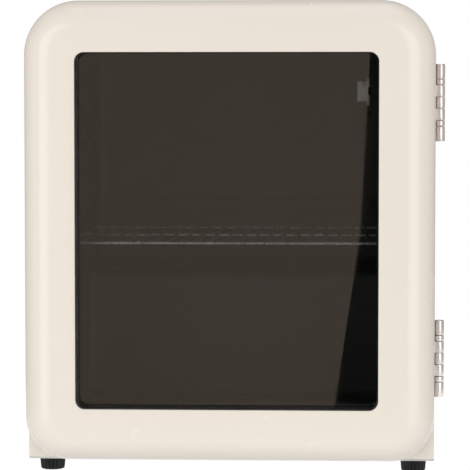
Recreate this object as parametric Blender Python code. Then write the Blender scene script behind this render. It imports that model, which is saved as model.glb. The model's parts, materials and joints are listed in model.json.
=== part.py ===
"""A retro glass-door mini fridge, as the separate pieces that it comes apart into.

Metres, +Z up. The door faces -Y and its hinges are on the +X side. The origin is on the floor, under
the middle of the whole object's box. Outlines are drawn in X and Z, seen from the front.
"""

from math import cos, copysign, pi, radians, sin

import bmesh
import bpy
from mathutils import Matrix, Vector

MM = 0.001
GAP = 0.3 * MM  # clearance between neighbouring pieces

# Whole object
HEIGHT = 0.510
DEPTH = 0.480
FRONT = -DEPTH / 2
REAR = DEPTH / 2

# Cabinet
CABINET_WIDTH = 0.438
HINGE_STANDOUT = 0.00975  # how far the hinge barrels stand out past the cabinet side
MIDDLE = -HINGE_STANDOUT / 2  # X of the middle of cabinet and door
LEFT = MIDDLE - CABINET_WIDTH / 2
RIGHT = MIDDLE + CABINET_WIDTH / 2
CABINET_TOP = 0.508
CABINET_BOTTOM = 0.0165
PAN = 1.5 * MM
SHELL_BOTTOM = CABINET_BOTTOM + PAN + GAP
CORNER = 0.058  # radius of the upper corners of cabinet and door, seen from the front
DOOR_LOWER_CORNER = 0.047  # the door's lower corners are a little tighter
SHEET = 1.0 * MM
FRAME_FRONT = -0.1825
FRAME_THICK = 2.0 * MM
SHELL_FRONT = FRAME_FRONT + FRAME_THICK + GAP
SHELL_REAR = 0.2145
SQUARE = 2.0 * MM  # radius of the bottom corners, which are nearly square

# Cold space inside the liner
COLD_LEFT = MIDDLE - 0.182
COLD_RIGHT = MIDDLE + 0.182
COLD_FLOOR = 0.057
COLD_ROOF = 0.470
COLD_BACK = 0.1795
COLD_CORNER = 0.012
STEP_FRONT = 0.055  # the floor steps up over the compressor behind this
STEP_TOP = 0.205
LINER = 1.5 * MM
BAY_FRONT = 0.085
BAY_TOP = 0.1767

# Door
DOOR_SIDE_GAP = 1.0 * MM  # the door is this much narrower than the cabinet on each side
DOOR_LEFT = LEFT + DOOR_SIDE_GAP
DOOR_RIGHT = RIGHT - DOOR_SIDE_GAP
DOOR_BOTTOM = 0.021
DOOR_THICK = 46.5 * MM
PILLOW_WIDE = 30 * MM  # the front edge rolls back in a quarter ellipse
PILLOW_DEEP = 28 * MM
SKIN = 2.5 * MM
SIDE_RAIL = 58 * MM  # from the door's edge to the window
TOP_RAIL = 55 * MM
BOTTOM_RAIL = 57 * MM
WINDOW_SHIFT = -2 * MM  # the window sits this far off the door's middle, away from the hinges
WINDOW_CORNER = 10 * MM
PANE = 4.0 * MM
OUTER_PANE = 4.5 * MM  # depth of the outer pane's face behind the door's front
INNER_PANE = 20.5 * MM
PANE_EDGE = 51.3 * MM

# Hinges: butt hinges whose leaves lie in the seam behind the door
AXIS_X = DOOR_RIGHT + 5.5 * MM
AXIS_Y = -0.188
BARREL = 5.25 * MM
PIN = 2.9 * MM
BORE = 3.3 * MM
LEAF_THICK = 2.0 * MM
LEAF_FACE = 5.2 * MM  # from the axis to a leaf's outer face
LEAF_WIDE = 20 * MM
KNUCKLES = (16 * MM, 6.5 * MM, 12.5 * MM, 12.5 * MM, 12.5 * MM, 6.5 * MM, 16 * MM)
HINGE_HEIGHTS = {"upper": 0.402, "lower": 0.1285}

# Shelf
SHELF_BOTTOM = 0.2485
WIRE = 3.5 * MM
SHELF_WIRES = 24
SHELF_FRONT = -0.168
SHELF_BACK = 0.150
SHELF_SIDE = 1.5 * MM
LEDGE_WIDE = 8 * MM
LEDGE_HIGH = 5 * MM
SPARE_LEDGE = 0.360

# Cold plate, which lies in the foam against the back of the liner, and the gutter below it
PLATE_FRONT = COLD_BACK + LINER + GAP
PLATE_SHEET = 1.5 * MM
CHANNEL_DEEP = 1.8 * MM
CHANNEL_WIDE = 8 * MM
PLATE_BACK = PLATE_FRONT + PLATE_SHEET
GUTTER_DEEP = 9 * MM
PLATE_HALF = 0.150
PLATE_LOW = 0.290
PLATE_HIGH = 0.455
GUTTER_LOW = 0.268
GUTTER_HIGH = 0.284
DRAIN_RADIUS = 4.5 * MM
DRAIN_Z = 0.2745
DRAIN_Y = 0.198

# Control box on the right wall
BOX_DEEP = 0.030
BOX_FACE = COLD_RIGHT - BOX_DEEP
BOX_FRONT, BOX_BACK = 0.000, 0.100
BOX_LOW, BOX_HIGH = 0.385, 0.445
KNOB_Y, KNOB_Z = 0.065, 0.415
KNOB_RADIUS = 17 * MM
SWITCH_Y = 0.018
SWITCH_REST = radians(-7)  # the rocker rests tilted to one side
SWITCH_PIVOT = (BOX_FACE + 2 * MM, SWITCH_Y, KNOB_Z)

# Machinery
MOTOR = Vector((MIDDLE + 0.045, 0.152, 0.0905))
MOTOR_HALF = Vector((0.085, 0.058, 0.056))
COIL_Y = 0.2275  # plane of the condenser tube
COIL_RADIUS = 2.5 * MM
COIL_TOP = 0.478
COIL_RUNGS = 11
COIL_PITCH = 27.3 * MM
COIL_SIDE = 0.1636
COIL_END = 0.165
LINE_Y = 0.2205  # plane of the lines that run between back panel and condenser
PORT_Z = 0.330
SUCTION_X = MIDDLE - 0.120
CAPILLARY_X = MIDDLE - 0.138
DRIER_LOW, DRIER_HIGH = 0.080, 0.168
SUCTION_RADIUS = 3.2 * MM
CAPILLARY_RADIUS = 1.2 * MM

# Feet
FOOT_X = 0.198
FOOT_Y = -0.142
REAR_FOOT = (0.190, 0.180)
FOOT_RADIUS = 14 * MM
FOOT_TOP = 13.6 * MM
STUD = 4.0 * MM

CORNER_STEPS = 6
ROUND_SIDES = 20


def clear_scene():
    for obj in list(bpy.data.objects):
        bpy.data.objects.remove(obj, do_unlink=True)


def material(name, colour, roughness, metallic=0.0, transmission=0.0):
    made = bpy.data.materials.new(name)
    made.use_nodes = True
    shader = made.node_tree.nodes["Principled BSDF"]
    shader.inputs["Base Color"].default_value = (*colour, 1.0)
    shader.inputs["Roughness"].default_value = roughness
    shader.inputs["Metallic"].default_value = metallic
    shader.inputs["Transmission Weight"].default_value = transmission
    return made


def make_finishes():
    return {
        "cream": material("cream_enamel", (0.82, 0.76, 0.67), 0.18),
        "dark": material("dark_moulding", (0.035, 0.032, 0.03), 0.45),
        "black": material("black_plastic", (0.015, 0.015, 0.015), 0.5),
        "white": material("white_plastic", (0.75, 0.75, 0.73), 0.4),
        "foam": material("foam", (0.75, 0.68, 0.42), 0.95),
        "zinc": material("zinc_sheet", (0.55, 0.57, 0.58), 0.45, 1.0),
        "chrome": material("chrome", (0.8, 0.78, 0.77), 0.12, 1.0),
        "steel": material("steel", (0.5, 0.5, 0.5), 0.35, 1.0),
        "aluminium": material("aluminium", (0.75, 0.76, 0.77), 0.4, 1.0),
        "copper": material("copper", (0.72, 0.36, 0.22), 0.35, 1.0),
        "rubber": material("rubber", (0.02, 0.02, 0.02), 0.8),
        "glass": material("glass", (0.9, 0.93, 0.92), 0.02, 0.0, 1.0),
        "lens": material("frosted_lens", (0.85, 0.85, 0.8), 0.4, 0.0, 0.5),
    }


# Making solids


def solid(name, bm, finish=None):
    """Makes bm an object with outward faces, smooth except at sharp edges."""
    bmesh.ops.recalc_face_normals(bm, faces=bm.faces[:])
    mesh = bpy.data.meshes.new(name)
    bm.to_mesh(mesh)
    bm.free()
    mesh.shade_smooth()
    mesh.set_sharp_from_angle(angle=radians(35))
    made = bpy.data.objects.new(name, mesh)
    bpy.context.scene.collection.objects.link(made)
    if finish:
        mesh.materials.append(finish)
    return made


def boolean(obj, tools, operation="DIFFERENCE"):
    """Cuts obj with the tools or joins them to it, and removes the tools."""
    for tool in tools:
        change = obj.modifiers.new(operation.lower(), "BOOLEAN")
        change.operation = operation
        change.object = tool
    graph = bpy.context.evaluated_depsgraph_get()
    changed = bpy.data.meshes.new_from_object(obj.evaluated_get(graph))
    obj.modifiers.clear()
    obj.data = changed
    for tool in tools:
        bpy.data.objects.remove(tool, do_unlink=True)
    return obj


def box(name, low, high, finish=None, bevel=0.0):
    low, high = Vector(low), Vector(high)
    place = Matrix.Translation((low + high) / 2) @ Matrix.Diagonal((*(high - low), 1.0))
    bm = bmesh.new()
    bmesh.ops.create_cube(bm, size=1.0, matrix=place)
    if bevel:
        bmesh.ops.bevel(
            bm, geom=bm.edges[:], offset=bevel, segments=2, profile=0.5, affect="EDGES"
        )
    return solid(name, bm, finish)


def rod(name, start, end, radius, finish=None, sides=ROUND_SIDES):
    start, end = Vector(start), Vector(end)
    along = end - start
    turn = along.to_track_quat("Z", "Y").to_matrix().to_4x4()
    bm = bmesh.new()
    bmesh.ops.create_cone(
        bm,
        cap_ends=True,
        segments=sides,
        radius1=radius,
        radius2=radius,
        depth=along.length,
        matrix=Matrix.Translation((start + end) / 2) @ turn,
    )
    return solid(name, bm, finish)


def lofted(name, rings, finish=None, hollow=False):
    """Joins each ring of points to the next. A hollow one also joins the last ring to the first."""
    bm = bmesh.new()
    loops = [[bm.verts.new(point) for point in ring] for ring in rings]
    pairs = list(zip(loops, loops[1:]))
    if hollow:
        pairs.append((loops[-1], loops[0]))
    else:
        bm.faces.new(loops[0])
        bm.faces.new(loops[-1])
    for one, other in pairs:
        for i in range(len(one)):
            j = (i + 1) % len(one)
            bm.faces.new((one[i], one[j], other[j], other[i]))
    return solid(name, bm, finish)


def circle(radius, sides=ROUND_SIDES, flute=0.0):
    """Points of a circle. With flute, every other point is pulled in by that much."""
    turns = [2 * pi * k / sides for k in range(sides)]
    radii = [radius - flute * (k % 2) for k in range(sides)]
    return [(r * cos(a), r * sin(a)) for r, a in zip(radii, turns)]


def turned(name, profile, x, y, finish, sides=ROUND_SIDES, hollow=False):
    """A shape turned about a vertical axis, from (radius, height) pairs."""
    rings = [[(x + a, y + b, z) for a, b in circle(r, sides)] for r, z in profile]
    return lofted(name, rings, finish, hollow)


def extruded(name, outline, y0, y1, finish=None):
    """A plate of this X and Z outline, from y0 to y1."""
    return lofted(name, [[(x, y, z) for x, z in outline] for y in (y0, y1)], finish)


def rounded(x0, x1, z0, z1, top, bottom):
    """A rectangle in X and Z with these radii at its top and bottom corners."""
    corners = (
        (x1 - bottom, z0 + bottom, bottom, -90),
        (x1 - top, z1 - top, top, 0),
        (x0 + top, z1 - top, top, 90),
        (x0 + bottom, z0 + bottom, bottom, 180),
    )
    points = []
    for x, z, radius, start in corners:
        for k in range(CORNER_STEPS + 1):
            turn = radians(start + 90 * k / CORNER_STEPS)
            points.append((x + radius * cos(turn), z + radius * sin(turn)))
    return points


def arch(inset, bottom):
    """The cabinet's sides and rounded top as an open line, from lower right to lower left."""
    whole = rounded(
        LEFT + inset, RIGHT - inset, bottom, CABINET_TOP - inset, CORNER - inset, SQUARE
    )
    top = whole[CORNER_STEPS + 1 : 3 * (CORNER_STEPS + 1)]
    return [(RIGHT - inset, bottom), *top, (LEFT + inset, bottom)]


def route(points, bend, steps=2):
    """The points with each corner replaced by a smooth bend."""
    points = [Vector(p) for p in points]
    path = [points[0]]
    for before, corner, after in zip(points, points[1:], points[2:]):
        back, on = before - corner, after - corner
        reach = min(bend, 0.499 * back.length, 0.499 * on.length)
        start = corner + back.normalized() * reach
        end = corner + on.normalized() * reach
        for k in range(steps + 1):
            t = k / steps
            path.append((1 - t) ** 2 * start + 2 * t * (1 - t) * corner + t**2 * end)
    return [*path, points[-1]]


def tube(name, points, radius, bend, finish=None):
    curve = bpy.data.curves.new(name, "CURVE")
    curve.dimensions = "3D"
    curve.bevel_depth = radius
    curve.bevel_resolution = 2
    curve.use_fill_caps = True
    path = route(points, bend)
    spline = curve.splines.new("POLY")
    spline.points.add(len(path) - 1)
    for point, place in zip(spline.points, path):
        point.co = (*place, 1.0)
    if finish:
        curve.materials.append(finish)
    made = bpy.data.objects.new(name, curve)
    bpy.context.scene.collection.objects.link(made)
    return made


def as_mesh(obj):
    """A curve object made into a mesh object, so that a Boolean can use it."""
    graph = bpy.context.evaluated_depsgraph_get()
    mesh = bpy.data.meshes.new_from_object(obj.evaluated_get(graph))
    made = bpy.data.objects.new(obj.name, mesh)
    bpy.data.objects.remove(obj, do_unlink=True)
    bpy.context.scene.collection.objects.link(made)
    bm = bmesh.new()
    bm.from_mesh(mesh)
    bmesh.ops.remove_doubles(bm, verts=bm.verts[:], dist=1e-6)
    bmesh.ops.recalc_face_normals(bm, faces=bm.faces[:])
    bm.to_mesh(mesh)
    bm.free()
    return made


def spans(low, high, count, width):
    """count intervals of this width, spread evenly with the first and last at the ends."""
    pitch = (high - low - width) / (count - 1)
    return [(low + k * pitch, low + k * pitch + width) for k in range(count)]


def lattice(name, columns, rows, place, thickness, finish):
    """A grid of bars as one solid. place(a, b) gives a point of its first face, thickness is a vector."""
    a_edges = sorted({edge for pair in columns for edge in pair})
    b_edges = sorted({edge for pair in rows for edge in pair})
    bm = bmesh.new()
    corners = {}

    def corner(i, j):
        if (i, j) not in corners:
            corners[i, j] = bm.verts.new(place(a_edges[i], b_edges[j]))
        return corners[i, j]

    for i, a in enumerate(a_edges[:-1]):
        for j, b in enumerate(b_edges[:-1]):
            if any(c[0] <= a < c[1] for c in columns) or any(r[0] <= b < r[1] for r in rows):
                bm.faces.new((corner(i, j), corner(i + 1, j), corner(i + 1, j + 1), corner(i, j + 1)))
    moved = bmesh.ops.extrude_face_region(bm, geom=bm.faces[:])["geom"]
    verts = [v for v in moved if isinstance(v, bmesh.types.BMVert)]
    bmesh.ops.translate(bm, verts=verts, vec=thickness)
    return solid(name, bm, finish)


# Cabinet


def cabinet_shells(finish):
    wrap = arch(0, SHELL_BOTTOM) + arch(SHEET, SHELL_BOTTOM)[::-1]
    extruded("cabinet_wrap", wrap, SHELL_FRONT, SHELL_REAR, finish["cream"])
    outer = rounded(LEFT, RIGHT, SHELL_BOTTOM, CABINET_TOP, CORNER, SQUARE)
    inner = rounded(COLD_LEFT, COLD_RIGHT, COLD_FLOOR, COLD_ROOF, COLD_CORNER, COLD_CORNER)
    y0, y1 = FRAME_FRONT, FRAME_FRONT + FRAME_THICK
    levels = ((outer, y0), (outer, y1), (inner, y1), (inner, y0))
    rings = [[(x, y, z) for x, z in line] for line, y in levels]
    lofted("front_frame", rings, finish["cream"], hollow=True)
    panel = extruded(
        "back_panel",
        arch(0, BAY_TOP - 5 * MM),
        SHELL_REAR + GAP,
        SHELL_REAR + GAP + SHEET,
        finish["zinc"],
    )
    boolean(panel, [line_port()])


def base(finish):
    pan = box(
        "base_pan",
        (LEFT, SHELL_FRONT, CABINET_BOTTOM),
        (RIGHT, SHELL_REAR, CABINET_BOTTOM + PAN),
        finish["zinc"],
    )
    boolean(pan, [stud_hole(side, STUD + 0.6 * MM) for side in (-1, 1)])
    low, high = LEFT + SHEET + GAP, RIGHT - SHEET - GAP
    panel = box(
        "bay_panel",
        (low, BAY_FRONT, SHELL_BOTTOM),
        (high, BAY_FRONT + SHEET, BAY_TOP),
        finish["zinc"],
    )
    roof = box("bay_roof", (low, BAY_FRONT, BAY_TOP - SHEET), (high, SHELL_REAR, BAY_TOP))
    boolean(panel, [roof], "UNION")
    x = MIDDLE
    below, above = (x, DRAIN_Y, BAY_TOP - 0.01), (x, DRAIN_Y, BAY_TOP + 0.01)
    boolean(panel, [rod("hole", below, above, DRAIN_RADIUS + 0.5 * MM)])


def stepped_block(name, grow, front, finish=None):
    """The cold space as a solid, grown by some thickness, with its rear floor stepped up over the bay."""
    low, high, back = COLD_FLOOR - grow, COLD_ROOF + grow, COLD_BACK + grow
    step_y, step_z = STEP_FRONT + grow, STEP_TOP - grow
    side = ((front, low), (step_y, low), (step_y, step_z), (back, step_z), (back, high), (front, high))
    bm = bmesh.new()
    face = bm.faces.new([bm.verts.new((COLD_LEFT - grow, y, z)) for y, z in side])
    moved = bmesh.ops.extrude_face_region(bm, geom=[face])["geom"]
    verts = [v for v in moved if isinstance(v, bmesh.types.BMVert)]
    bmesh.ops.translate(bm, verts=verts, vec=(COLD_RIGHT - COLD_LEFT + 2 * grow, 0, 0))
    edges = [e for e in bm.edges if any(v.co.y > front + MM for v in e.verts)]
    bmesh.ops.bevel(
        bm, geom=edges, offset=COLD_CORNER + grow, segments=3, profile=0.5, affect="EDGES"
    )
    return solid(name, bm, finish)


def line_port():
    """The slot from the cold plate to the rear that the suction line and the capillary share."""
    return box(
        "port",
        (CAPILLARY_X - 3 * MM, COLD_BACK + LINER + GAP / 2, PORT_Z - 5 * MM),
        (SUCTION_X + 5 * MM, SHELL_REAR + 5 * MM, PORT_Z + 5 * MM),
    )


def drain_points(extra=0.0):
    return (
        (MIDDLE, COLD_BACK - 0.2 * MM - extra, DRAIN_Z),
        (MIDDLE, DRAIN_Y, DRAIN_Z),
        (MIDDLE, DRAIN_Y, BAY_TOP - 5 * MM - extra),
    )


def liner(finish):
    tub = stepped_block("inner_liner", LINER, SHELL_FRONT, finish["dark"])
    boolean(tub, [stepped_block("space", 0.0, SHELL_FRONT - 0.01)])
    near, far = (MIDDLE, COLD_BACK - 0.01, DRAIN_Z), (MIDDLE, COLD_BACK + 0.01, DRAIN_Z)
    boolean(tub, [rod("hole", near, far, DRAIN_RADIUS + 0.5 * MM)])
    ledges = []
    for top in (SHELF_BOTTOM - GAP, SPARE_LEDGE):
        for wall, way in ((COLD_LEFT, 1), (COLD_RIGHT, -1)):
            x0, x1 = sorted((wall - way * 0.8 * MM, wall + way * LEDGE_WIDE))
            ledges.append(box("ledge", (x0, -0.150, top - LEDGE_HIGH), (x1, 0.140, top)))
    boolean(tub, ledges[:2], "UNION")
    boolean(tub, ledges[2:], "UNION")


def foam(finish):
    inset = SHEET + GAP
    low = SHELL_BOTTOM + GAP
    block = extruded(
        "insulation_foam", arch(inset, low), SHELL_FRONT + GAP, SHELL_REAR, finish["foam"]
    )
    cold = stepped_block("cold", LINER + GAP, SHELL_FRONT - 0.01)
    bay = box("bay", (LEFT - 0.01, BAY_FRONT - GAP, 0.0), (RIGHT + 0.01, REAR, BAY_TOP + GAP))
    drain = as_mesh(tube("drain_way", drain_points(5 * MM), DRAIN_RADIUS + 0.6 * MM, 8 * MM))
    pockets = []
    for side in (-1, 1):
        x = MIDDLE + side * FOOT_X
        pockets.append(rod("pocket", (x, FOOT_Y, 0.010), (x, FOOT_Y, 0.034), 9 * MM))
    plate = box(
        "plate_space",
        (MIDDLE - PLATE_HALF - GAP, COLD_BACK, PLATE_LOW - GAP),
        (MIDDLE + PLATE_HALF + GAP, PLATE_BACK + CHANNEL_DEEP + GAP, PLATE_HIGH + GAP),
    )
    boolean(block, [cold, bay, drain, plate, line_port(), *pockets])


def cold_plate(finish):
    """A roll-bonded plate with a raised refrigerant channel that runs back and forth on its rear."""
    plate = box(
        "evaporator_plate",
        (MIDDLE - PLATE_HALF, PLATE_FRONT, PLATE_LOW),
        (MIDDLE + PLATE_HALF, PLATE_BACK, PLATE_HIGH),
        finish["aluminium"],
    )
    half, rows, margin = CHANNEL_WIDE / 2, 5, 20 * MM
    reach = PLATE_HALF - 18 * MM
    pitch = (PLATE_HIGH - PLATE_LOW - 2 * margin) / (rows - 1)
    y0, y1 = PLATE_BACK - PLATE_SHEET / 3, PLATE_BACK + CHANNEL_DEEP
    channel = []
    for k in range(rows):
        z = PLATE_LOW + margin + k * pitch
        low, high = (MIDDLE - reach, y0, z - half), (MIDDLE + reach, y1, z + half)
        channel.append(box("run", low, high))
        if k < rows - 1:
            x = MIDDLE + (reach - half) * (1 if k % 2 else -1)
            channel.append(box("turn", (x - half, y0, z), (x + half, y1, z + pitch)))
    first = channel[0]
    boolean(first, channel[1:], "UNION")
    boolean(plate, [first], "UNION")


def gutter(finish):
    half = PLATE_HALF + 5 * MM
    y0, y1 = COLD_BACK - 0.5 * MM - GUTTER_DEEP, COLD_BACK - 0.5 * MM
    trough = box(
        "drip_channel", (MIDDLE - half, y0, GUTTER_LOW), (MIDDLE + half, y1, GUTTER_HIGH), finish["dark"]
    )
    wall = 1.5 * MM
    hollow = box(
        "hollow",
        (MIDDLE - half + wall, y0 + wall, GUTTER_LOW + wall),
        (MIDDLE + half - wall, y1 - wall, GUTTER_HIGH + 0.01),
    )
    spout = rod("spout", (MIDDLE, y1 - 3 * MM, DRAIN_Z), (MIDDLE, y1 + 3 * MM, DRAIN_Z), DRAIN_RADIUS - MM)
    boolean(trough, [hollow, spout])
    tube("drain_tube", drain_points(), DRAIN_RADIUS, 8 * MM, finish["white"])


# Shelf and controls


def shelf(finish):
    low, high = COLD_LEFT + SHELF_SIDE, COLD_RIGHT - SHELF_SIDE
    wires = spans(low, high, SHELF_WIRES, WIRE)
    bars = spans(SHELF_FRONT, SHELF_BACK, 3, WIRE)
    lattice(
        "wire_shelf",
        wires,
        bars,
        lambda x, y: (x, y, SHELF_BOTTOM),
        (0, 0, WIRE),
        finish["steel"],
    )


def controls(finish):
    wall = 2 * MM
    inner = COLD_RIGHT - GAP
    cover = box(
        "control_housing",
        (BOX_FACE, BOX_FRONT, BOX_LOW),
        (inner, BOX_BACK, BOX_HIGH),
        finish["dark"],
    )
    hollow = box(
        "hollow",
        (BOX_FACE + wall, BOX_FRONT + wall, BOX_LOW + wall),
        (inner + 0.01, BOX_BACK - wall, BOX_HIGH - wall),
    )
    near, far = (BOX_FACE - 0.01, KNOB_Y, KNOB_Z), (BOX_FACE + 0.01, KNOB_Y, KNOB_Z)
    shaft_hole = rod("hole", near, far, 4 * MM)
    switch_hole = box(
        "slot",
        (BOX_FACE - 0.01, SWITCH_Y - 10 * MM, KNOB_Z - 5.5 * MM),
        (BOX_FACE + 0.01, SWITCH_Y + 10 * MM, KNOB_Z + 5.5 * MM),
    )
    boolean(cover, [hollow, shaft_hole, switch_hole])
    body = box(
        "thermostat_body",
        (BOX_FACE + 5 * MM, KNOB_Y - 20 * MM, KNOB_Z - 18 * MM),
        (inner - 4 * MM, KNOB_Y + 20 * MM, KNOB_Z + 18 * MM),
        finish["steel"],
    )
    tip, root = (BOX_FACE - 9 * MM, KNOB_Y, KNOB_Z), (BOX_FACE + 8 * MM, KNOB_Y, KNOB_Z)
    boolean(body, [rod("shaft", tip, root, 3 * MM)], "UNION")


def knob(finish):
    """A dial with a grip bar across it, in its own frame: the shaft is its X axis."""
    disc = rod("thermostat_knob", (-4 * MM, 0, 0), (-GAP, 0, 0), KNOB_RADIUS, finish["white"], 28)
    crown = rod("crown", (-9 * MM, 0, 0), (-3 * MM, 0, 0), 12 * MM, None, 28)
    grip = box("grip", (-15 * MM, -2.5 * MM, -12 * MM), (-8 * MM, 2.5 * MM, 12 * MM), None, 0.8 * MM)
    boolean(disc, [crown, grip], "UNION")
    boolean(disc, [rod("bore", (-9.6 * MM, 0, 0), (0.01, 0, 0), 3.4 * MM)])
    disc.location = (BOX_FACE, KNOB_Y, KNOB_Z)


def rocker(finish):
    """The lamp's rocker, in its own frame: it tips about its Z axis."""
    made = box(
        "light_switch",
        (-4 * MM, -8.5 * MM, -4.7 * MM),
        (3 * MM, 8.5 * MM, 4.7 * MM),
        finish["black"],
        0.8 * MM,
    )
    made.data.transform(Matrix.Rotation(SWITCH_REST, 4, "Z"))
    made.location = SWITCH_PIVOT


def lamp(finish):
    y0, y1 = BOX_FRONT - 0.052, BOX_FRONT - GAP
    z0, z1 = BOX_LOW + 7 * MM, BOX_HIGH - 7 * MM
    inner = COLD_RIGHT - GAP
    cover = box("lamp_lens", (COLD_RIGHT - 0.022, y0, z0), (inner, y1, z1), finish["lens"])
    wall = 1.5 * MM
    hollow = box(
        "hollow",
        (COLD_RIGHT - 0.022 + wall, y0 + wall, z0 + wall),
        (inner + 0.01, y1 - wall, z1 - wall),
    )
    boolean(cover, [hollow])
    board = box(
        "lamp_board",
        (inner - 5 * MM, y0 + 4 * MM, z0 + 5 * MM),
        (inner - 3.4 * MM, y1 - 4 * MM, z1 - 5 * MM),
        finish["white"],
    )
    middle = (z0 + z1) / 2
    lights = []
    for y in (y0 + 0.013, (y0 + y1) / 2, y1 - 0.013):
        low, high = (inner - 7 * MM, y - 2 * MM), (inner - 4 * MM, y + 2 * MM)
        lights.append(box("light", (*low, middle - 2 * MM), (*high, middle + 2 * MM)))
    boolean(board, lights, "UNION")


# Machinery


def oval(scale, z, sides=24):
    """A rounded oblong at height z: a superellipse of the compressor's plan, times scale."""
    points = []
    for k in range(sides):
        turn = 2 * pi * k / sides
        x = copysign(abs(cos(turn)) ** 0.8, cos(turn))
        y = copysign(abs(sin(turn)) ** 0.8, sin(turn))
        points.append((MOTOR.x + MOTOR_HALF.x * scale * x, MOTOR.y + MOTOR_HALF.y * scale * y, z))
    return points


def compressor(finish):
    """Two deep-drawn domes welded at a flange, on a plate that stands on rubber feet."""
    flange, widest = 2 * MM, 75
    dome = [
        (cos(radians(a)) ** 0.5, MOTOR_HALF.z * sin(radians(a)) / sin(radians(widest)))
        for a in range(15, widest + 1, 15)
    ]
    upper = [(1.0, flange), *dome]
    lower = [(scale, -z) for scale, z in reversed(upper)]
    levels = [*lower, (1.03, -flange), (1.03, flange), *upper]
    shell = lofted("compressor_shell", [oval(s, MOTOR.z + z) for s, z in levels], finish["black"])
    stubs = [
        rod("stub", (x, MOTOR.y, z), (x, REAR, z), radius + 0.5 * MM, None, 12)
        for x, z, radius in (
            (discharge_x(), MOTOR.z + 0.012, COIL_RADIUS),
            (MOTOR.x - 0.045, MOTOR.z + 0.012, SUCTION_RADIUS),
        )
    ]
    boolean(shell, stubs)
    plate_low = SHELL_BOTTOM + 10.5 * MM
    plate = box(
        "compressor_base",
        (MOTOR.x - 0.082, MOTOR.y - 0.055, plate_low),
        (MOTOR.x + 0.082, MOTOR.y + 0.055, plate_low + 2.5 * MM),
        finish["black"],
    )
    corners = [(MOTOR.x + sx * 0.070, MOTOR.y + sy * 0.043) for sx in (-1, 1) for sy in (-1, 1)]
    boolean(
        plate,
        [rod("hole", (x, y, 0), (x, y, 0.1), 6 * MM, None, 12) for x, y in corners],
    )
    for number, (x, y) in enumerate(corners, 1):
        profile = (
            (10 * MM, SHELL_BOTTOM),
            (10 * MM, plate_low - GAP),
            (5.5 * MM, plate_low - GAP),
            (5.5 * MM, plate_low + 2.8 * MM),
            (7.5 * MM, plate_low + 2.8 * MM),
            (7.5 * MM, plate_low + 6 * MM),
        )
        turned(f"compressor_mount_{number}", profile, x, y, finish["rubber"], 12)


def discharge_x():
    return MOTOR.x + 0.045


def electrics(finish):
    x1 = MOTOR.x - MOTOR_HALF.x * 1.03 - GAP
    box(
        "relay_cover",
        (x1 - 0.034, MOTOR.y - 0.028, MOTOR.z - 0.030),
        (x1, MOTOR.y + 0.028, MOTOR.z + 0.022),
        finish["black"],
        3 * MM,
    )
    x, y, z = x1 - 0.017, MOTOR.y + 0.028 + GAP, MOTOR.z - 0.004
    outside = ((8 * MM, 0.0), (8 * MM, 3 * MM), (6 * MM, 3 * MM), (5 * MM, 14 * MM))
    steps = (*outside, (3.5 * MM, 14 * MM), (3.5 * MM, 0.0))
    rings = [[(x + a, y + h, z + b) for a, b in circle(r, 16)] for r, h in steps]
    lofted("cord_gland", rings, finish["black"], hollow=True)


def tray(finish):
    low, high = MOTOR.z + MOTOR_HALF.z + 3 * MM, BAY_TOP - 9 * MM
    made = box(
        "evaporation_tray",
        (MOTOR.x - 0.072, MOTOR.y - 0.052, low),
        (MOTOR.x + 0.072, MOTOR.y + 0.056, high),
        finish["white"],
    )
    wall = 1.8 * MM
    hollow = box(
        "hollow",
        (MOTOR.x - 0.072 + wall, MOTOR.y - 0.052 + wall, low + wall),
        (MOTOR.x + 0.072 - wall, MOTOR.y + 0.056 - wall, high + 0.01),
    )
    boolean(made, [hollow])


def condenser(finish):
    points = [(MIDDLE + COIL_END, COIL_Y, COIL_TOP)]
    for k in range(COIL_RUNGS - 1):
        side = 1 if k % 2 else -1
        for z in (COIL_TOP - k * COIL_PITCH, COIL_TOP - (k + 1) * COIL_PITCH):
            points.append((MIDDLE + side * COIL_SIDE, COIL_Y, z))
    last = COIL_TOP - (COIL_RUNGS - 1) * COIL_PITCH
    points.append((MIDDLE - COIL_END, COIL_Y, last))
    points.append((MIDDLE - COIL_END, COIL_Y, DRIER_HIGH + GAP))
    tube("condenser_tube", points, COIL_RADIUS, COIL_PITCH / 2, finish["black"])
    wire = 1.4 * MM
    front = COIL_Y + COIL_RADIUS + GAP
    columns = spans(MIDDLE - 0.145, MIDDLE + 0.145, 20, wire)
    rows = spans(last - 0.010, COIL_TOP + 0.010, 3, wire)
    lattice(
        "condenser_wires",
        columns,
        rows,
        lambda x, z: (x, front, z),
        (0, wire, 0),
        finish["black"],
    )


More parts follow.
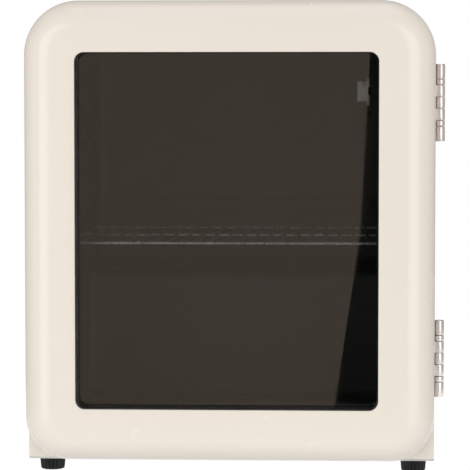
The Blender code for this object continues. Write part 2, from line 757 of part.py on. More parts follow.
def refrigerant_lines(finish):
    x, z = MIDDLE - COIL_END, DRIER_LOW
    shape = ((3 * MM, z), (9 * MM, z + 0.010), (9 * MM, DRIER_HIGH - 0.010), (3 * MM, DRIER_HIGH))
    turned("filter_drier", shape, x, COIL_Y, finish["copper"], 16)
    plate_back = PLATE_BACK + GAP
    capillary = (
        (x, COIL_Y, z - GAP),
        (x, COIL_Y, z - 0.022),
        (CAPILLARY_X, LINE_Y, z - 0.022),
        (CAPILLARY_X, LINE_Y, PORT_Z),
        (CAPILLARY_X, plate_back, PORT_Z),
    )
    tube("capillary_tube", capillary, CAPILLARY_RADIUS, 6 * MM, finish["copper"])
    stub = MOTOR.y + 0.045
    out_z = MOTOR.z + 0.012
    suction = (
        (MOTOR.x - 0.045, stub, out_z),
        (MOTOR.x - 0.045, LINE_Y, out_z),
        (SUCTION_X, LINE_Y, out_z),
        (SUCTION_X, LINE_Y, PORT_Z),
        (SUCTION_X, plate_back, PORT_Z),
    )
    tube("suction_line", suction, SUCTION_RADIUS, 8 * MM, finish["copper"])
    side = MIDDLE + COIL_END + 0.020
    discharge = (
        (discharge_x(), stub, out_z),
        (discharge_x(), COIL_Y, out_z),
        (side, COIL_Y, out_z),
        (side, COIL_Y, COIL_TOP),
        (MIDDLE + COIL_END + GAP, COIL_Y, COIL_TOP),
    )
    tube("discharge_line", discharge, COIL_RADIUS, 8 * MM, finish["copper"])


def wall_spacers(finish):
    for name, side in (("left", -1), ("right", 1)):
        x = MIDDLE + side * 0.199
        box(
            f"wall_spacer_{name}",
            (x - 7 * MM, SHELL_REAR + SHEET + 2 * GAP, 0.425),
            (x + 7 * MM, REAR, 0.455),
            finish["black"],
            2 * MM,
        )


# Hinges


def knuckle_spans(middle):
    """(low, high) of each of a hinge's barrel segments, from the top down, less half a gap at each end."""
    top = middle + sum(KNUCKLES) / 2
    found = []
    for height in KNUCKLES:
        found.append((top - height + GAP / 2, top - GAP / 2))
        top -= height
    return found


def leaf(name, way, knuckles, middle, finish):
    """One leaf: a flat plate in the seam with its share of the barrel. way is -1 for the door's leaf."""
    y0, y1 = sorted((AXIS_Y + way * LEAF_FACE, AXIS_Y + way * (LEAF_FACE - LEAF_THICK)))
    half = sum(KNUCKLES) / 2 - GAP / 2
    edge = AXIS_X - 5.5 * MM
    plate = box(name, (edge - LEAF_WIDE, y0, middle - half), (edge, y1, middle + half), finish["chrome"])
    joined = []
    for low, high in knuckles:
        joined.append(rod("barrel", (AXIS_X, AXIS_Y, low), (AXIS_X, AXIS_Y, high), BARREL))
        joined.append(box("web", (edge - MM, y0, low), (AXIS_X, y1, high)))
    boolean(plate, joined, "UNION")
    boolean(plate, [rod("bore", (AXIS_X, AXIS_Y, middle - 0.1), (AXIS_X, AXIS_Y, middle + 0.1), BORE)])
    return plate


def hinges(finish):
    """Returns the leaves that turn with the door."""
    turning = []
    for name, middle in HINGE_HEIGHTS.items():
        found = knuckle_spans(middle)
        leaf(f"{name}_hinge_cabinet_leaf", 1, found[0::3], middle, finish)
        turning.append(leaf(f"{name}_hinge_door_leaf", -1, (found[2], found[4]), middle, finish))
        ends = [(AXIS_X, AXIS_Y, middle + s * (sum(KNUCKLES) / 2 - GAP)) for s in (-1, 1)]
        rod(f"{name}_hinge_pin", *ends, PIN, finish["steel"], 16)
        for place, (low, high) in (("top", found[1]), ("bottom", found[5])):
            profile = ((BARREL, low), (BARREL, high), (BORE, high), (BORE, low))
            turned(f"{name}_hinge_ring_{place}", profile, AXIS_X, AXIS_Y, finish["chrome"], hollow=True)
    return turning


# Door


def door_outline(inset):
    """The door's outline at some inset from its edge, which ends at the window at SIDE_RAIL."""
    upper = max(CORNER - inset, WINDOW_CORNER)
    lower = max(DOOR_LOWER_CORNER - inset, WINDOW_CORNER)
    shift = WINDOW_SHIFT * inset / SIDE_RAIL
    return rounded(
        DOOR_LEFT + inset + shift,
        DOOR_RIGHT - inset + shift,
        DOOR_BOTTOM + inset * BOTTOM_RAIL / SIDE_RAIL,
        HEIGHT - inset * TOP_RAIL / SIDE_RAIL,
        upper,
        lower,
    )


def door_ring(name, profile, finish):
    """A ring round the window. The profile is (inset from the door's edge, depth behind its front)."""
    rings = [[(x, FRONT + depth, z) for x, z in door_outline(inset)] for inset, depth in profile]
    return lofted(name, rings, finish, hollow=True)


def rolled_edge(shrink, steps=6):
    """(inset, depth) along the rolled front edge, from the door's side to its flat front."""
    points = []
    for k in range(steps + 1):
        turn = radians(90 * k / steps)
        inset = PILLOW_WIDE - (PILLOW_WIDE - shrink) * cos(turn)
        points.append((inset, PILLOW_DEEP - (PILLOW_DEEP - shrink) * sin(turn)))
    return points


def door_frame(finish):
    back = DOOR_THICK
    edge = SIDE_RAIL
    lip = ((edge - 2 * MM, 0.0), (edge - 0.6 * MM, 0.5 * MM), (edge, 1.8 * MM), (edge, SKIN))
    skin = [(0.0, back), *rolled_edge(0.0), *lip, *rolled_edge(SKIN)[::-1], (SKIN, back)]
    inner = SKIN + GAP
    plate_front = back - 3 * MM
    rim = SIDE_RAIL - 1.2 * MM
    opening = SIDE_RAIL + 1.8 * MM
    rear_pane = INNER_PANE + PANE + GAP
    foam_edge = PANE_EDGE - 2 * GAP
    core = [
        (inner, plate_front - GAP),
        *rolled_edge(inner),
        (foam_edge, inner),
        (foam_edge, rear_pane),
        (rim - GAP, rear_pane),
        (rim - GAP, plate_front - GAP),
    ]
    groove_in, groove_out, groove = 26.8 * MM, 31.2 * MM, 2 * MM
    cover = [
        (inner, back),
        (inner, plate_front),
        (rim, plate_front),
        (rim, rear_pane),
        (opening, rear_pane),
        (opening, 38 * MM),
        (opening - 2.6 * MM, back),
        (groove_out, back),
        (groove_out, back - groove),
        (groove_in, back - groove),
        (groove_in, back),
    ]
    return [
        door_ring("door_skin", skin, finish["cream"]),
        door_ring("door_foam", core, finish["foam"]),
        door_ring("door_liner", cover, finish["black"]),
    ]


def door_seals(finish):
    """The magnetic gasket, which plugs into the liner's groove, and the magnet strip in its pocket."""
    face = FRAME_FRONT - FRONT - GAP
    back = DOOR_THICK + GAP
    edge, inner = 23 * MM, 34.5 * MM
    pocket, pocket_low, pocket_high = 25.5 * MM, face - 4.4 * MM, face - MM
    dart_in, dart_out, dart = 27.1 * MM, 30.9 * MM, DOOR_THICK - 1.7 * MM
    gasket = [
        (dart_in, dart),
        (dart_out, dart),
        (dart_out, back),
        (inner, back),
        (inner, pocket_low),
        (pocket, pocket_low),
        (pocket, pocket_high),
        (inner, pocket_high),
        (inner, face),
        (edge, face),
        (edge, back),
        (dart_in, back),
    ]
    low, high = pocket_low + GAP, pocket_high - GAP
    magnet = [(pocket + GAP, low), (inner - GAP, low), (inner - GAP, high), (pocket + GAP, high)]
    return [
        door_ring("door_gasket", gasket, finish["rubber"]),
        door_ring("magnet_strip", magnet, finish["dark"]),
    ]


def glazing(finish):
    """Two panes held apart by a spacer, behind a thin seal that the skin's lip presses on."""
    panes = [
        extruded(name, door_outline(PANE_EDGE), FRONT + depth, FRONT + depth + PANE, finish["glass"])
        for name, depth in (("outer_glass", OUTER_PANE), ("inner_glass", INNER_PANE))
    ]
    seal = (52 * MM, SIDE_RAIL + 0.8 * MM, SKIN + GAP, OUTER_PANE - GAP)
    spacer = (52.5 * MM, SIDE_RAIL - GAP, OUTER_PANE + PANE + GAP, INNER_PANE - GAP)
    rings = []
    for name, (a, b, c, d), coat in (
        ("glazing_seal", seal, finish["rubber"]),
        ("glass_spacer", spacer, finish["aluminium"]),
    ):
        rings.append(door_ring(name, [(a, c), (b, c), (b, d), (a, d)], coat))
    return [*panes, *rings]


def hang_door(pieces):
    """Parents the door's pieces to an empty on the hinge axis."""
    place = Vector((AXIS_X, AXIS_Y, 0.0))
    axis = bpy.data.objects.new("door_axis", None)
    axis.location = place
    bpy.context.scene.collection.objects.link(axis)
    for piece in pieces:
        piece.parent = axis
        piece.matrix_parent_inverse = Matrix.Translation(-place)


# Feet


def stud_hole(side, radius):
    x = MIDDLE + side * FOOT_X
    return rod("hole", (x, FOOT_Y, 0.0), (x, FOOT_Y, 0.05), radius)


def fluted_foot(name, side, finish):
    """A levelling foot in its own frame: a fluted pad with a stud, which turns about Z."""
    sides, flute = 28, 1.1 * MM
    levels = (
        (circle(FOOT_RADIUS - 2.5 * MM, sides, flute), 0.0),
        (circle(FOOT_RADIUS - 1.0 * MM, sides, flute), 1.8 * MM),
        (circle(FOOT_RADIUS, sides, flute), FOOT_TOP - MM),
        (circle(FOOT_RADIUS - MM, sides, flute), FOOT_TOP),
        (circle(STUD, sides), FOOT_TOP),
        (circle(STUD, sides), 0.031),
    )
    made = lofted(name, [[(x, y, z) for x, y in ring] for ring, z in levels], finish["black"])
    made.location = (MIDDLE + side * FOOT_X, FOOT_Y, 0.0)


def feet(finish):
    for name, side in (("left", -1), ("right", 1)):
        fluted_foot(f"front_foot_{name}", side, finish)
        x, y = MIDDLE + side * FOOT_X, FOOT_Y
        low, high = SHELL_BOTTOM + GAP, SHELL_BOTTOM + 6 * MM
        bore = STUD + 0.5 * MM
        profile = ((7.5 * MM, low), (7.5 * MM, high), (bore, high), (bore, low))
        rings = [[(x + a, y + b, z) for a, b in circle(r, 12)] for r, z in profile]
        lofted(f"foot_nut_{name}", rings, finish["steel"], hollow=True)
        rear_x = MIDDLE + side * REAR_FOOT[0]
        rear = ((10 * MM, 0.0), (12 * MM, 2 * MM), (13 * MM, CABINET_BOTTOM - GAP))
        turned(f"rear_foot_{name}", rear, rear_x, REAR_FOOT[1], finish["black"])
    x = MIDDLE + 0.2035
    plate = box(
        "foot_plate",
        (x - 13.5 * MM, FOOT_Y - 20 * MM, FOOT_TOP + GAP),
        (x + 13.5 * MM, FOOT_Y + 20 * MM, CABINET_BOTTOM - GAP),
        finish["black"],
    )
    boolean(plate, [stud_hole(1, STUD + 0.6 * MM)])


def build():
    clear_scene()
    finish = make_finishes()
    cabinet_shells(finish)
    base(finish)
    liner(finish)
    foam(finish)
    cold_plate(finish)
    gutter(finish)
    shelf(finish)
    controls(finish)
    knob(finish)
    rocker(finish)
    lamp(finish)
    compressor(finish)
    electrics(finish)
    tray(finish)
    condenser(finish)
    refrigerant_lines(finish)
    wall_spacers(finish)
    feet(finish)
    hang_door([*door_frame(finish), *door_seals(finish), *glazing(finish), *hinges(finish)])


build()
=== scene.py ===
# %% [markdown]
# # A retro glass-door mini fridge
#
# This lesson dresses a fixed mechanical frame: sixty plain solids that already have the right size,
# place and movement. A few of them only need a better finish. Most get a finer piece that stands in the
# same space: softer edges, round wires, real screw heads. Everything is in metres, with the floor at
# Z = 0, the door facing -Y and the hinges on the +X side.

# %% Load the frame
import json
from math import cos, copysign, exp, pi, radians, sin

import bmesh
import bpy
from mathutils import Matrix, Vector


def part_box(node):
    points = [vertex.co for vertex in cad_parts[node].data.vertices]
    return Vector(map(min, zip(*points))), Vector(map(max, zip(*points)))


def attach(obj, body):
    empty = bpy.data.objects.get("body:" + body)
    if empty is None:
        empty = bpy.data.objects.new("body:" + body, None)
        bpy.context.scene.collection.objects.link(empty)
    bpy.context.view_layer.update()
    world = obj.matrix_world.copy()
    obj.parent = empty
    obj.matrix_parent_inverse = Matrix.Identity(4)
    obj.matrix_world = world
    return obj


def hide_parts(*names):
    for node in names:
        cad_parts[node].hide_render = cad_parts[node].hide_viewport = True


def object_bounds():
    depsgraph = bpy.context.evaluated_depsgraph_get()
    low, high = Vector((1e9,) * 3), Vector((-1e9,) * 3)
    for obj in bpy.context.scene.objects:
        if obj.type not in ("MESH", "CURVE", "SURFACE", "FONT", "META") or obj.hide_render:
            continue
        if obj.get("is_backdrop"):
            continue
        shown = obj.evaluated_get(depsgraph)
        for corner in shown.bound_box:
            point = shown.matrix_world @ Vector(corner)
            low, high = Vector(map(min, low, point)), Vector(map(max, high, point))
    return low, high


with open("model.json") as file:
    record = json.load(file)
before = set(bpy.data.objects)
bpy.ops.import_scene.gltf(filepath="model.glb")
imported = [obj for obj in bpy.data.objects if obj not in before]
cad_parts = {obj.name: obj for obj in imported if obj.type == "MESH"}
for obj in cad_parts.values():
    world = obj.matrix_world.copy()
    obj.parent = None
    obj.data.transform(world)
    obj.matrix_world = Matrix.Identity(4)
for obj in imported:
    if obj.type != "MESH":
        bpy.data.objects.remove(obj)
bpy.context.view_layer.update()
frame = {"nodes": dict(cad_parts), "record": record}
nodes = frame["nodes"]
slot_of = {row["node"]: row["material_slot"] for row in frame["record"]["subparts"]}
body_of = {name: body for body, names in frame["record"]["behaviour"]["bodies"].items() for name in names}

# %% [markdown]
# ## Measures
#
# Places come from the frame itself. The door's outline, for example, is read from the box of its skin,
# so a change to the frame carries through. The few numbers that a box can't tell, such as how far the
# door's front edge rolls back, are named here once.

# %% Measures
MM = 0.001
GAP = 0.3 * MM
door_low, door_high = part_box("door_skin")
cabinet_low, cabinet_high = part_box("cabinet_wrap")
DOOR_FRONT, DOOR_BACK = door_low.y, door_high.y
MIDDLE = (cabinet_low.x + cabinet_high.x) / 2
CORNER = 58 * MM
DOOR_LOWER_CORNER = 47 * MM
ROLL_WIDE, ROLL_DEEP = 30 * MM, 28 * MM
SKIN = 2.5 * MM
SIDE_RAIL, TOP_RAIL, BOTTOM_RAIL = 58 * MM, 55 * MM, 57 * MM
WINDOW_SHIFT = -2 * MM
WINDOW_CORNER = 10 * MM
OUTER_PANE, INNER_PANE, PANE = 4.5 * MM, 20.5 * MM, 4 * MM
PANE_EDGE = 51.3 * MM
SQUARE = 2 * MM
print("door:", round(door_high.x - door_low.x, 4), "wide,", round(door_high.z - door_low.z, 4), "high")

# %% [markdown]
# ## Meshes
#
# Two helpers make most of the pieces. A loft joins rings of points, which suits a door frame or a turned
# foot. A softened copy takes a plain solid from the frame, merges its loose triangles and rounds its
# sharp edges, because no moulded or pressed part has a perfectly sharp edge, and the small round is what
# catches the light.

# %% Mesh helpers


def shaded(mesh, angle=40):
    mesh.shade_smooth()
    mesh.set_sharp_from_angle(angle=radians(angle))
    return mesh


def to_mesh(bm, name):
    bmesh.ops.recalc_face_normals(bm, faces=bm.faces[:])
    mesh = bpy.data.meshes.new(name)
    bm.to_mesh(mesh)
    bm.free()
    return shaded(mesh)


def loft(name, rings, hollow=False):
    """Joins each ring of points to the next. A hollow one also joins the last ring to the first."""
    bm = bmesh.new()
    loops = [[bm.verts.new(point) for point in ring] for ring in rings]
    pairs = list(zip(loops, loops[1:]))
    if hollow:
        pairs.append((loops[-1], loops[0]))
    else:
        bm.faces.new(loops[0])
        bm.faces.new(loops[-1])
    for one, other in pairs:
        for i in range(len(one)):
            j = (i + 1) % len(one)
            bm.faces.new((one[i], one[j], other[j], other[i]))
    return to_mesh(bm, name)


def turned(name, profile, centre, axis="Z", sides=64, hollow=False):
    """A shape turned about a line through centre, from (radius, distance along the line) pairs."""
    rings = []
    for radius, along in profile:
        ring = []
        for k in range(sides):
            a, b = radius * cos(2 * pi * k / sides), radius * sin(2 * pi * k / sides)
            offset = {"X": (along, a, b), "Y": (a, along, b), "Z": (a, b, along)}[axis]
            ring.append(Vector(centre) + Vector(offset))
        rings.append(ring)
    return loft(name, rings, hollow)


def placed(name, data):
    obj = bpy.data.objects.new(name, data)
    bpy.context.scene.collection.objects.link(obj)
    return obj


def scratch(mesh):
    """An object that holds a mesh while modifiers work on it."""
    return placed("scratch", mesh)


def baked(obj, name):
    """The mesh that an object's modifiers make. The object is removed."""
    graph = bpy.context.evaluated_depsgraph_get()
    mesh = bpy.data.meshes.new_from_object(obj.evaluated_get(graph))
    mesh.name = name
    bpy.data.objects.remove(obj, do_unlink=True)
    return mesh


def with_round_edges(mesh, width, segments=3, angle=32):
    obj = scratch(mesh)
    bevel = obj.modifiers.new("round", "BEVEL")
    bevel.width = width
    bevel.segments = segments
    bevel.limit_method = "ANGLE"
    bevel.angle_limit = radians(angle)
    bevel.miter_outer = "MITER_ARC"
    weighted = obj.modifiers.new("weighted", "WEIGHTED_NORMAL")
    weighted.keep_sharp = False
    mesh.shade_smooth()
    return baked(obj, mesh.name)


def merged_copy(node):
    bm = bmesh.new()
    bm.from_mesh(nodes[node].data)
    bmesh.ops.remove_doubles(bm, verts=bm.verts[:], dist=2e-6)
    bmesh.ops.dissolve_limit(bm, angle_limit=radians(0.5), verts=bm.verts[:], edges=bm.edges[:])
    return to_mesh(bm, node)


def softened(node, width, segments):
    """A copy of a node's solid with its sharp edges rounded."""
    return with_round_edges(merged_copy(node), width, segments)


def joined(name, *meshes):
    bm = bmesh.new()
    for mesh in meshes:
        bm.from_mesh(mesh)
    made = bpy.data.meshes.new(name)
    bm.to_mesh(made)
    bm.free()
    return shaded(made)


def cut(mesh, *tools, operation="DIFFERENCE"):
    obj = scratch(mesh)
    holders = [scratch(tool) for tool in tools]
    for holder in holders:
        change = obj.modifiers.new("cut", "BOOLEAN")
        change.operation = operation
        change.object = holder
    made = baked(obj, mesh.name)
    for holder in holders:
        bpy.data.objects.remove(holder, do_unlink=True)
    return shaded(made)


def block(name, low, high):
    low, high = Vector(low), Vector(high)
    place = Matrix.Translation((low + high) / 2) @ Matrix.Diagonal((*(high - low), 1.0))
    bm = bmesh.new()
    bmesh.ops.create_cube(bm, size=1.0, matrix=place)
    return to_mesh(bm, name)


def rounded(x0, x1, z0, z1, top, bottom, steps=20):
    """A rectangle in X and Z with these radii at its top and bottom corners."""
    corners = (
        (x1 - bottom, z0 + bottom, bottom, -90),
        (x1 - top, z1 - top, top, 0),
        (x0 + top, z1 - top, top, 90),
        (x0 + bottom, z0 + bottom, bottom, 180),
    )
    points = []
    for x, z, radius, start in corners:
        for k in range(steps + 1):
            turn = radians(start + 90 * k / steps)
            points.append((x + radius * cos(turn), z + radius * sin(turn)))
    return points


def at_depth(outline, y):
    return [(x, y, z) for x, z in outline]


def in_mm(pairs, base=0.0):
    """A profile written in millimetres, its second measure counted from a base in metres."""
    return [(a * MM, base + b * MM) for a, b in pairs]


def upright(node):
    """A node's box and the line up through its middle, as a point on the floor."""
    low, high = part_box(node)
    return low, high, ((low.x + high.x) / 2, (low.y + high.y) / 2, 0.0)


def grid_faces(bm, grid):
    for column, following in zip(grid, grid[1:]):
        for j in range(len(column) - 1):
            bm.faces.new((column[j], following[j], following[j + 1], column[j + 1]))


# %% [markdown]
# ## Geometry Nodes
#
# Wires, tubes, ribs and screws all repeat or follow a path, so a node tree makes them. Each tree is
# written here as a short list of nodes with named inputs. A modifier reads a tree's input by its
# identifier and not by its name, so the runner looks the identifiers up. What comes out is a plain mesh.

# %% Node helpers


def place_node(tree, kind, inputs=None, **settings):
    """Adds a node. An input is a plain value, another node's socket, or a node for its first socket."""
    made = tree.nodes.new(kind)
    for name, value in settings.items():
        setattr(made, name, value)
    for name, value in (inputs or {}).items():
        if isinstance(value, bpy.types.Node):
            value = value.outputs[0]
        if isinstance(value, bpy.types.NodeSocket):
            tree.links.new(value, made.inputs[name])
        else:
            made.inputs[name].default_value = value
    return made


def maths(tree, operation, *values, kind="ShaderNodeMath"):
    return place_node(tree, kind, dict(enumerate(values)), operation=operation)


def spread(tree, value, low, high, start=0.3, stop=0.7):
    """Maps start..stop to low..high, and holds the ends."""
    sizes = {"Value": value, "From Min": start, "From Max": stop, "To Min": low, "To Max": high}
    return place_node(tree, "ShaderNodeMapRange", sizes).outputs[0]


KINDS = {float: "NodeSocketFloat", int: "NodeSocketInt", tuple: "NodeSocketVector"}


def new_tree(name, sizes):
    """A tree that takes a mesh, these named sizes, a helper object and a material."""
    tree = bpy.data.node_groups.new(name, "GeometryNodeTree")
    tree.is_modifier = True
    tree.interface.new_socket("Geometry", in_out="INPUT", socket_type="NodeSocketGeometry")
    for label, value in sizes.items():
        socket = tree.interface.new_socket(label, in_out="INPUT", socket_type=KINDS[type(value)])
        socket.default_value = value
    tree.interface.new_socket("Pattern", in_out="INPUT", socket_type="NodeSocketObject")
    tree.interface.new_socket("Finish", in_out="INPUT", socket_type="NodeSocketMaterial")
    tree.interface.new_socket("Geometry", in_out="OUTPUT", socket_type="NodeSocketGeometry")
    return tree, tree.nodes.new("NodeGroupInput").outputs


def rod(tree, given, curve):
    """A round rod along a curve, closed at both ends."""
    sizes = {"Radius": given["Radius"], "Resolution": given["Sides"]}
    ring = place_node(tree, "GeometryNodeCurvePrimitiveCircle", sizes)
    ends = {"Curve": curve, "Profile Curve": ring, "Fill Caps": True}
    return place_node(tree, "GeometryNodeCurveToMesh", ends)


def end_tree(tree, given, geometry):
    """Closes a tree: real geometry in place of instances, then the material."""
    real = place_node(tree, "GeometryNodeRealizeInstances", {"Geometry": geometry})
    coated = place_node(tree, "GeometryNodeSetMaterial", {"Geometry": real, "Material": given["Finish"]})
    place_node(tree, "NodeGroupOutput", {0: coated})


def grown(name, tree, mesh, material, pattern=None, **sizes):
    """Runs a tree on a mesh and returns the plain mesh that it makes."""
    obj = scratch(mesh)
    modifier = obj.modifiers.new("nodes", "NODES")
    modifier.node_group = tree
    values = {label.replace("_", " "): value for label, value in sizes.items()}
    values["Finish"] = material
    if pattern:
        values["Pattern"] = pattern
    for item in tree.interface.items_tree:
        if item.in_out == "INPUT" and item.name in values:
            modifier[item.identifier] = values.pop(item.name)
    assert not values, f"no input named {sorted(values)}"
    return shaded(baked(obj, name))


def points_mesh(points, linked=False):
    """Loose points, or a line through them."""
    mesh = bpy.data.meshes.new("points")
    edges = [(k, k + 1) for k in range(len(points) - 1)] if linked else []
    mesh.from_pydata([tuple(p) for p in points], edges, [])
    return mesh


# %% The tube tree
tube_tree, given = new_tree("tube", {"Radius": 0.002, "Bend": 0.01, "Sides": 16, "Bend Steps": 10})
line = place_node(tube_tree, "GeometryNodeMeshToCurve", {"Mesh": given["Geometry"]})
bend = {"Curve": line, "Radius": given["Bend"], "Limit Radius": True, "Count": given["Bend Steps"]}
bent = place_node(tube_tree, "GeometryNodeFilletCurve", bend, mode="POLY")
end_tree(tube_tree, given, rod(tube_tree, given, bent))

# %% The row tree
# One straight wire, repeated at equal steps.
row_sizes = {"Count": 20, "First": (0.0, 0.0, 0.0), "Step": (0.01, 0.0, 0.0), "Run": (0.0, 0.3, 0.0)}
row_tree, given = new_tree("row of wires", {**row_sizes, "Radius": 0.00175, "Sides": 12})
steps = {"Count": given["Count"], "Start Location": given["First"], "Offset": given["Step"]}
stations = place_node(row_tree, "GeometryNodeMeshLine", steps, mode="OFFSET")
wire = place_node(row_tree, "GeometryNodeCurvePrimitiveLine", {"Start": (0, 0, 0), "End": given["Run"]})
wires = {"Points": stations, "Instance": rod(row_tree, given, wire)}
end_tree(row_tree, given, place_node(row_tree, "GeometryNodeInstanceOnPoints", wires))

# %% The fastener tree
# A pattern object is set down on every point, turned by one rotation.
fastener_tree, given = new_tree("fasteners", {"Turn": (0.0, 0.0, 0.0)})
source = place_node(fastener_tree, "GeometryNodeObjectInfo", {"Object": given["Pattern"]})
heads = {"Points": given["Geometry"], "Instance": source.outputs["Geometry"], "Rotation": given["Turn"]}
end_tree(fastener_tree, given, place_node(fastener_tree, "GeometryNodeInstanceOnPoints", heads))

# %% The flute tree
# Every point of a turned shape is pulled towards the axis by a cosine of its angle, which gives evenly
# spaced ribs. The pull fades near the top and bottom so that the rims stay round.
VECTORS = "ShaderNodeVectorMath"
flute_sizes = {"Flutes": 18.0, "Depth": 0.001, "Centre": (0.0, 0.0, 0.0), "From": 0.001, "To": 0.012}
flute_tree, given = new_tree("flutes", flute_sizes)
position = place_node(flute_tree, "GeometryNodeInputPosition")
away = maths(flute_tree, "SUBTRACT", position, given["Centre"], kind=VECTORS)
across, along, up = place_node(flute_tree, "ShaderNodeSeparateXYZ", {0: away}).outputs
angle = maths(flute_tree, "ARCTAN2", along, across)
wave = maths(flute_tree, "COSINE", maths(flute_tree, "MULTIPLY", angle, given["Flutes"]))
pull = spread(flute_tree, wave, 0.0, given["Depth"], 1.0, -1.0)
rise = spread(flute_tree, up, 0.0, 1.0, given["From"], given["To"])
between = maths(flute_tree, "COMPARE", rise, 0.5, 0.45)
strength = maths(flute_tree, "MULTIPLY", pull, between)
outward = place_node(flute_tree, "ShaderNodeCombineXYZ", {"X": across, "Y": along})
outward = maths(flute_tree, "NORMALIZE", outward, kind=VECTORS)
minus = maths(flute_tree, "MULTIPLY", strength, -1.0)
offset = place_node(flute_tree, VECTORS, {0: outward, "Scale": minus}, operation="SCALE")
moved = {"Geometry": given["Geometry"], "Offset": offset}
end_tree(flute_tree, given, place_node(flute_tree, "GeometryNodeSetPosition", moved))
print("node trees:", [tree.name for tree in bpy.data.node_groups])

# %% [markdown]
# ## Camera
#
# A long lens a little right of the middle, level with the upper part of the door and looking slightly
# down. A long lens keeps the door's upright edges almost parallel.

# %% Camera
lens = bpy.data.cameras.new("camera")
lens.lens = 180.35
lens.sensor_width = 36.0
lens.clip_start, lens.clip_end = 0.05, 50.0
camera = placed("camera", lens)
camera.location = (0.1147, -2.7061, 0.4049)
camera.rotation_euler = (pi / 2 - 0.0573, 0.0, 0.0455)
bpy.context.scene.camera = camera

# %% [markdown]
# ## Light
#
# Glossy enamel shows its shape by what it mirrors, so the lights are large and soft. Two tall boxes stand
# left and right of the camera and do most of the work, with a panel overhead for the top. A panel below
# the floor, which throws no shadow, and one far out on each side lift the rolled edges of the door. The
# room straight behind the camera is kept dark, or the glass door would mirror it and hide the shelf. A
# dim warm card there gives the glass its faint haze.

# %% Light


def lamp(name, place, target, wide, high, power, colour, mirrored=True):
    data = bpy.data.lights.new(name, "AREA")
    data.shape = "RECTANGLE"
    data.size, data.size_y = wide, high
    data.energy = power
    data.color = colour
    obj = placed(name, data)
    obj.location = place
    obj.rotation_euler = (Vector(target) - Vector(place)).to_track_quat("-Z", "Y").to_euler()
    obj.visible_glossy = mirrored


lamp("left_box", (-1.17, -2.11, 0.50), (0, -0.2, 0.3), 1.35, 1.8, 16.0, (1.0, 0.985, 0.962))
lamp("right_box", (1.17, -2.11, 0.50), (0, -0.2, 0.3), 1.35, 1.8, 15.7, (1.0, 0.975, 0.95))
lamp("top_light", (0.2, -0.3, 2.2), (0, 0, 0.3), 1.6, 1.4, 6.8, (1.0, 1.0, 1.0))
lamp("low_fill", (0.0, -1.7, -1.3), (0, -0.2, 0.1), 1.6, 0.8, 8.0, (1.0, 0.95, 0.89), False)
lamp("left_fill", (-2.0, -0.6, 0.5), (-0.2, -0.2, 0.3), 0.8, 1.2, 6.5, (1.0, 0.96, 0.92), False)
lamp("right_fill", (2.0, -0.5, 0.5), (0.2, -0.2, 0.3), 0.8, 1.2, 3.5, (1.0, 0.95, 0.90), False)

# %% The room
# What the eye sees is white, what lights the fridge is soft and even, and what the fridge mirrors is dim,
# dimmest within a cone behind the camera.
TOWARDS_CAMERA = (0.04, -0.997, 0.06)
CONE_EDGE, CONE_DARK = 0.72, 0.90
world = bpy.data.worlds.new("studio")
bpy.context.scene.world = world
world.use_nodes = True
sky = world.node_tree
sky.nodes.clear()
ray = place_node(sky, "ShaderNodeLightPath")
facing = place_node(sky, "ShaderNodeTexCoord")
ahead = maths(sky, "DOT_PRODUCT", facing.outputs["Generated"], TOWARDS_CAMERA, kind="ShaderNodeVectorMath")
ahead = ahead.outputs["Value"]
far_side = spread(sky, ahead, 0.20, 0.44, -0.98, -0.90)
dim = spread(sky, ahead, far_side, 0.004, CONE_EDGE, CONE_DARK)
white = place_node(sky, "ShaderNodeBackground", {"Color": (1, 1, 1, 1), "Strength": 1.0})
soft = place_node(sky, "ShaderNodeBackground", {"Color": (1.0, 0.99, 0.975, 1), "Strength": 0.455})
mirrored = place_node(sky, "ShaderNodeBackground", {"Color": (1.0, 0.95, 0.90, 1), "Strength": dim})
lit = place_node(sky, "ShaderNodeMixShader", {0: ray.outputs["Is Glossy Ray"], 1: soft, 2: mirrored})
seen = place_node(sky, "ShaderNodeMixShader", {0: ray.outputs["Is Camera Ray"], 1: lit, 2: white})
place_node(sky, "ShaderNodeOutputWorld", {0: seen})

# %% [markdown]
# The haze card stands behind the camera. Its corners come from the mirror rule: the point that the glass
# shows at (x, z) lies on the line from the camera's mirror image through that point.

# %% The haze card
CARD_Y = -3.6
glass_y = DOOR_FRONT + OUTER_PANE


def mirrored_point(x, z):
    reach = (CARD_Y - glass_y) / (camera.location.y - glass_y)
    return (x + reach * (x - camera.location.x), CARD_Y, z + reach * (z - camera.location.z))


card_edge = [(0.148, 0.520), (0.1437, 0.455), (0.134, 0.264), (0.107, 0.079), (0.095, 0.010)]
card_outline = [mirrored_point(x, z) for x, z in [*card_edge, (-0.26, 0.010), (-0.26, 0.520)]]
card_mesh = bpy.data.meshes.new("haze_card")
card_mesh.from_pydata(card_outline, [], [list(range(len(card_outline)))])
card = placed("haze_card", card_mesh)


def bare_material(name):
    made = bpy.data.materials.new(name)
    made.use_nodes = True
    made.node_tree.nodes.clear()
    return made, made.node_tree


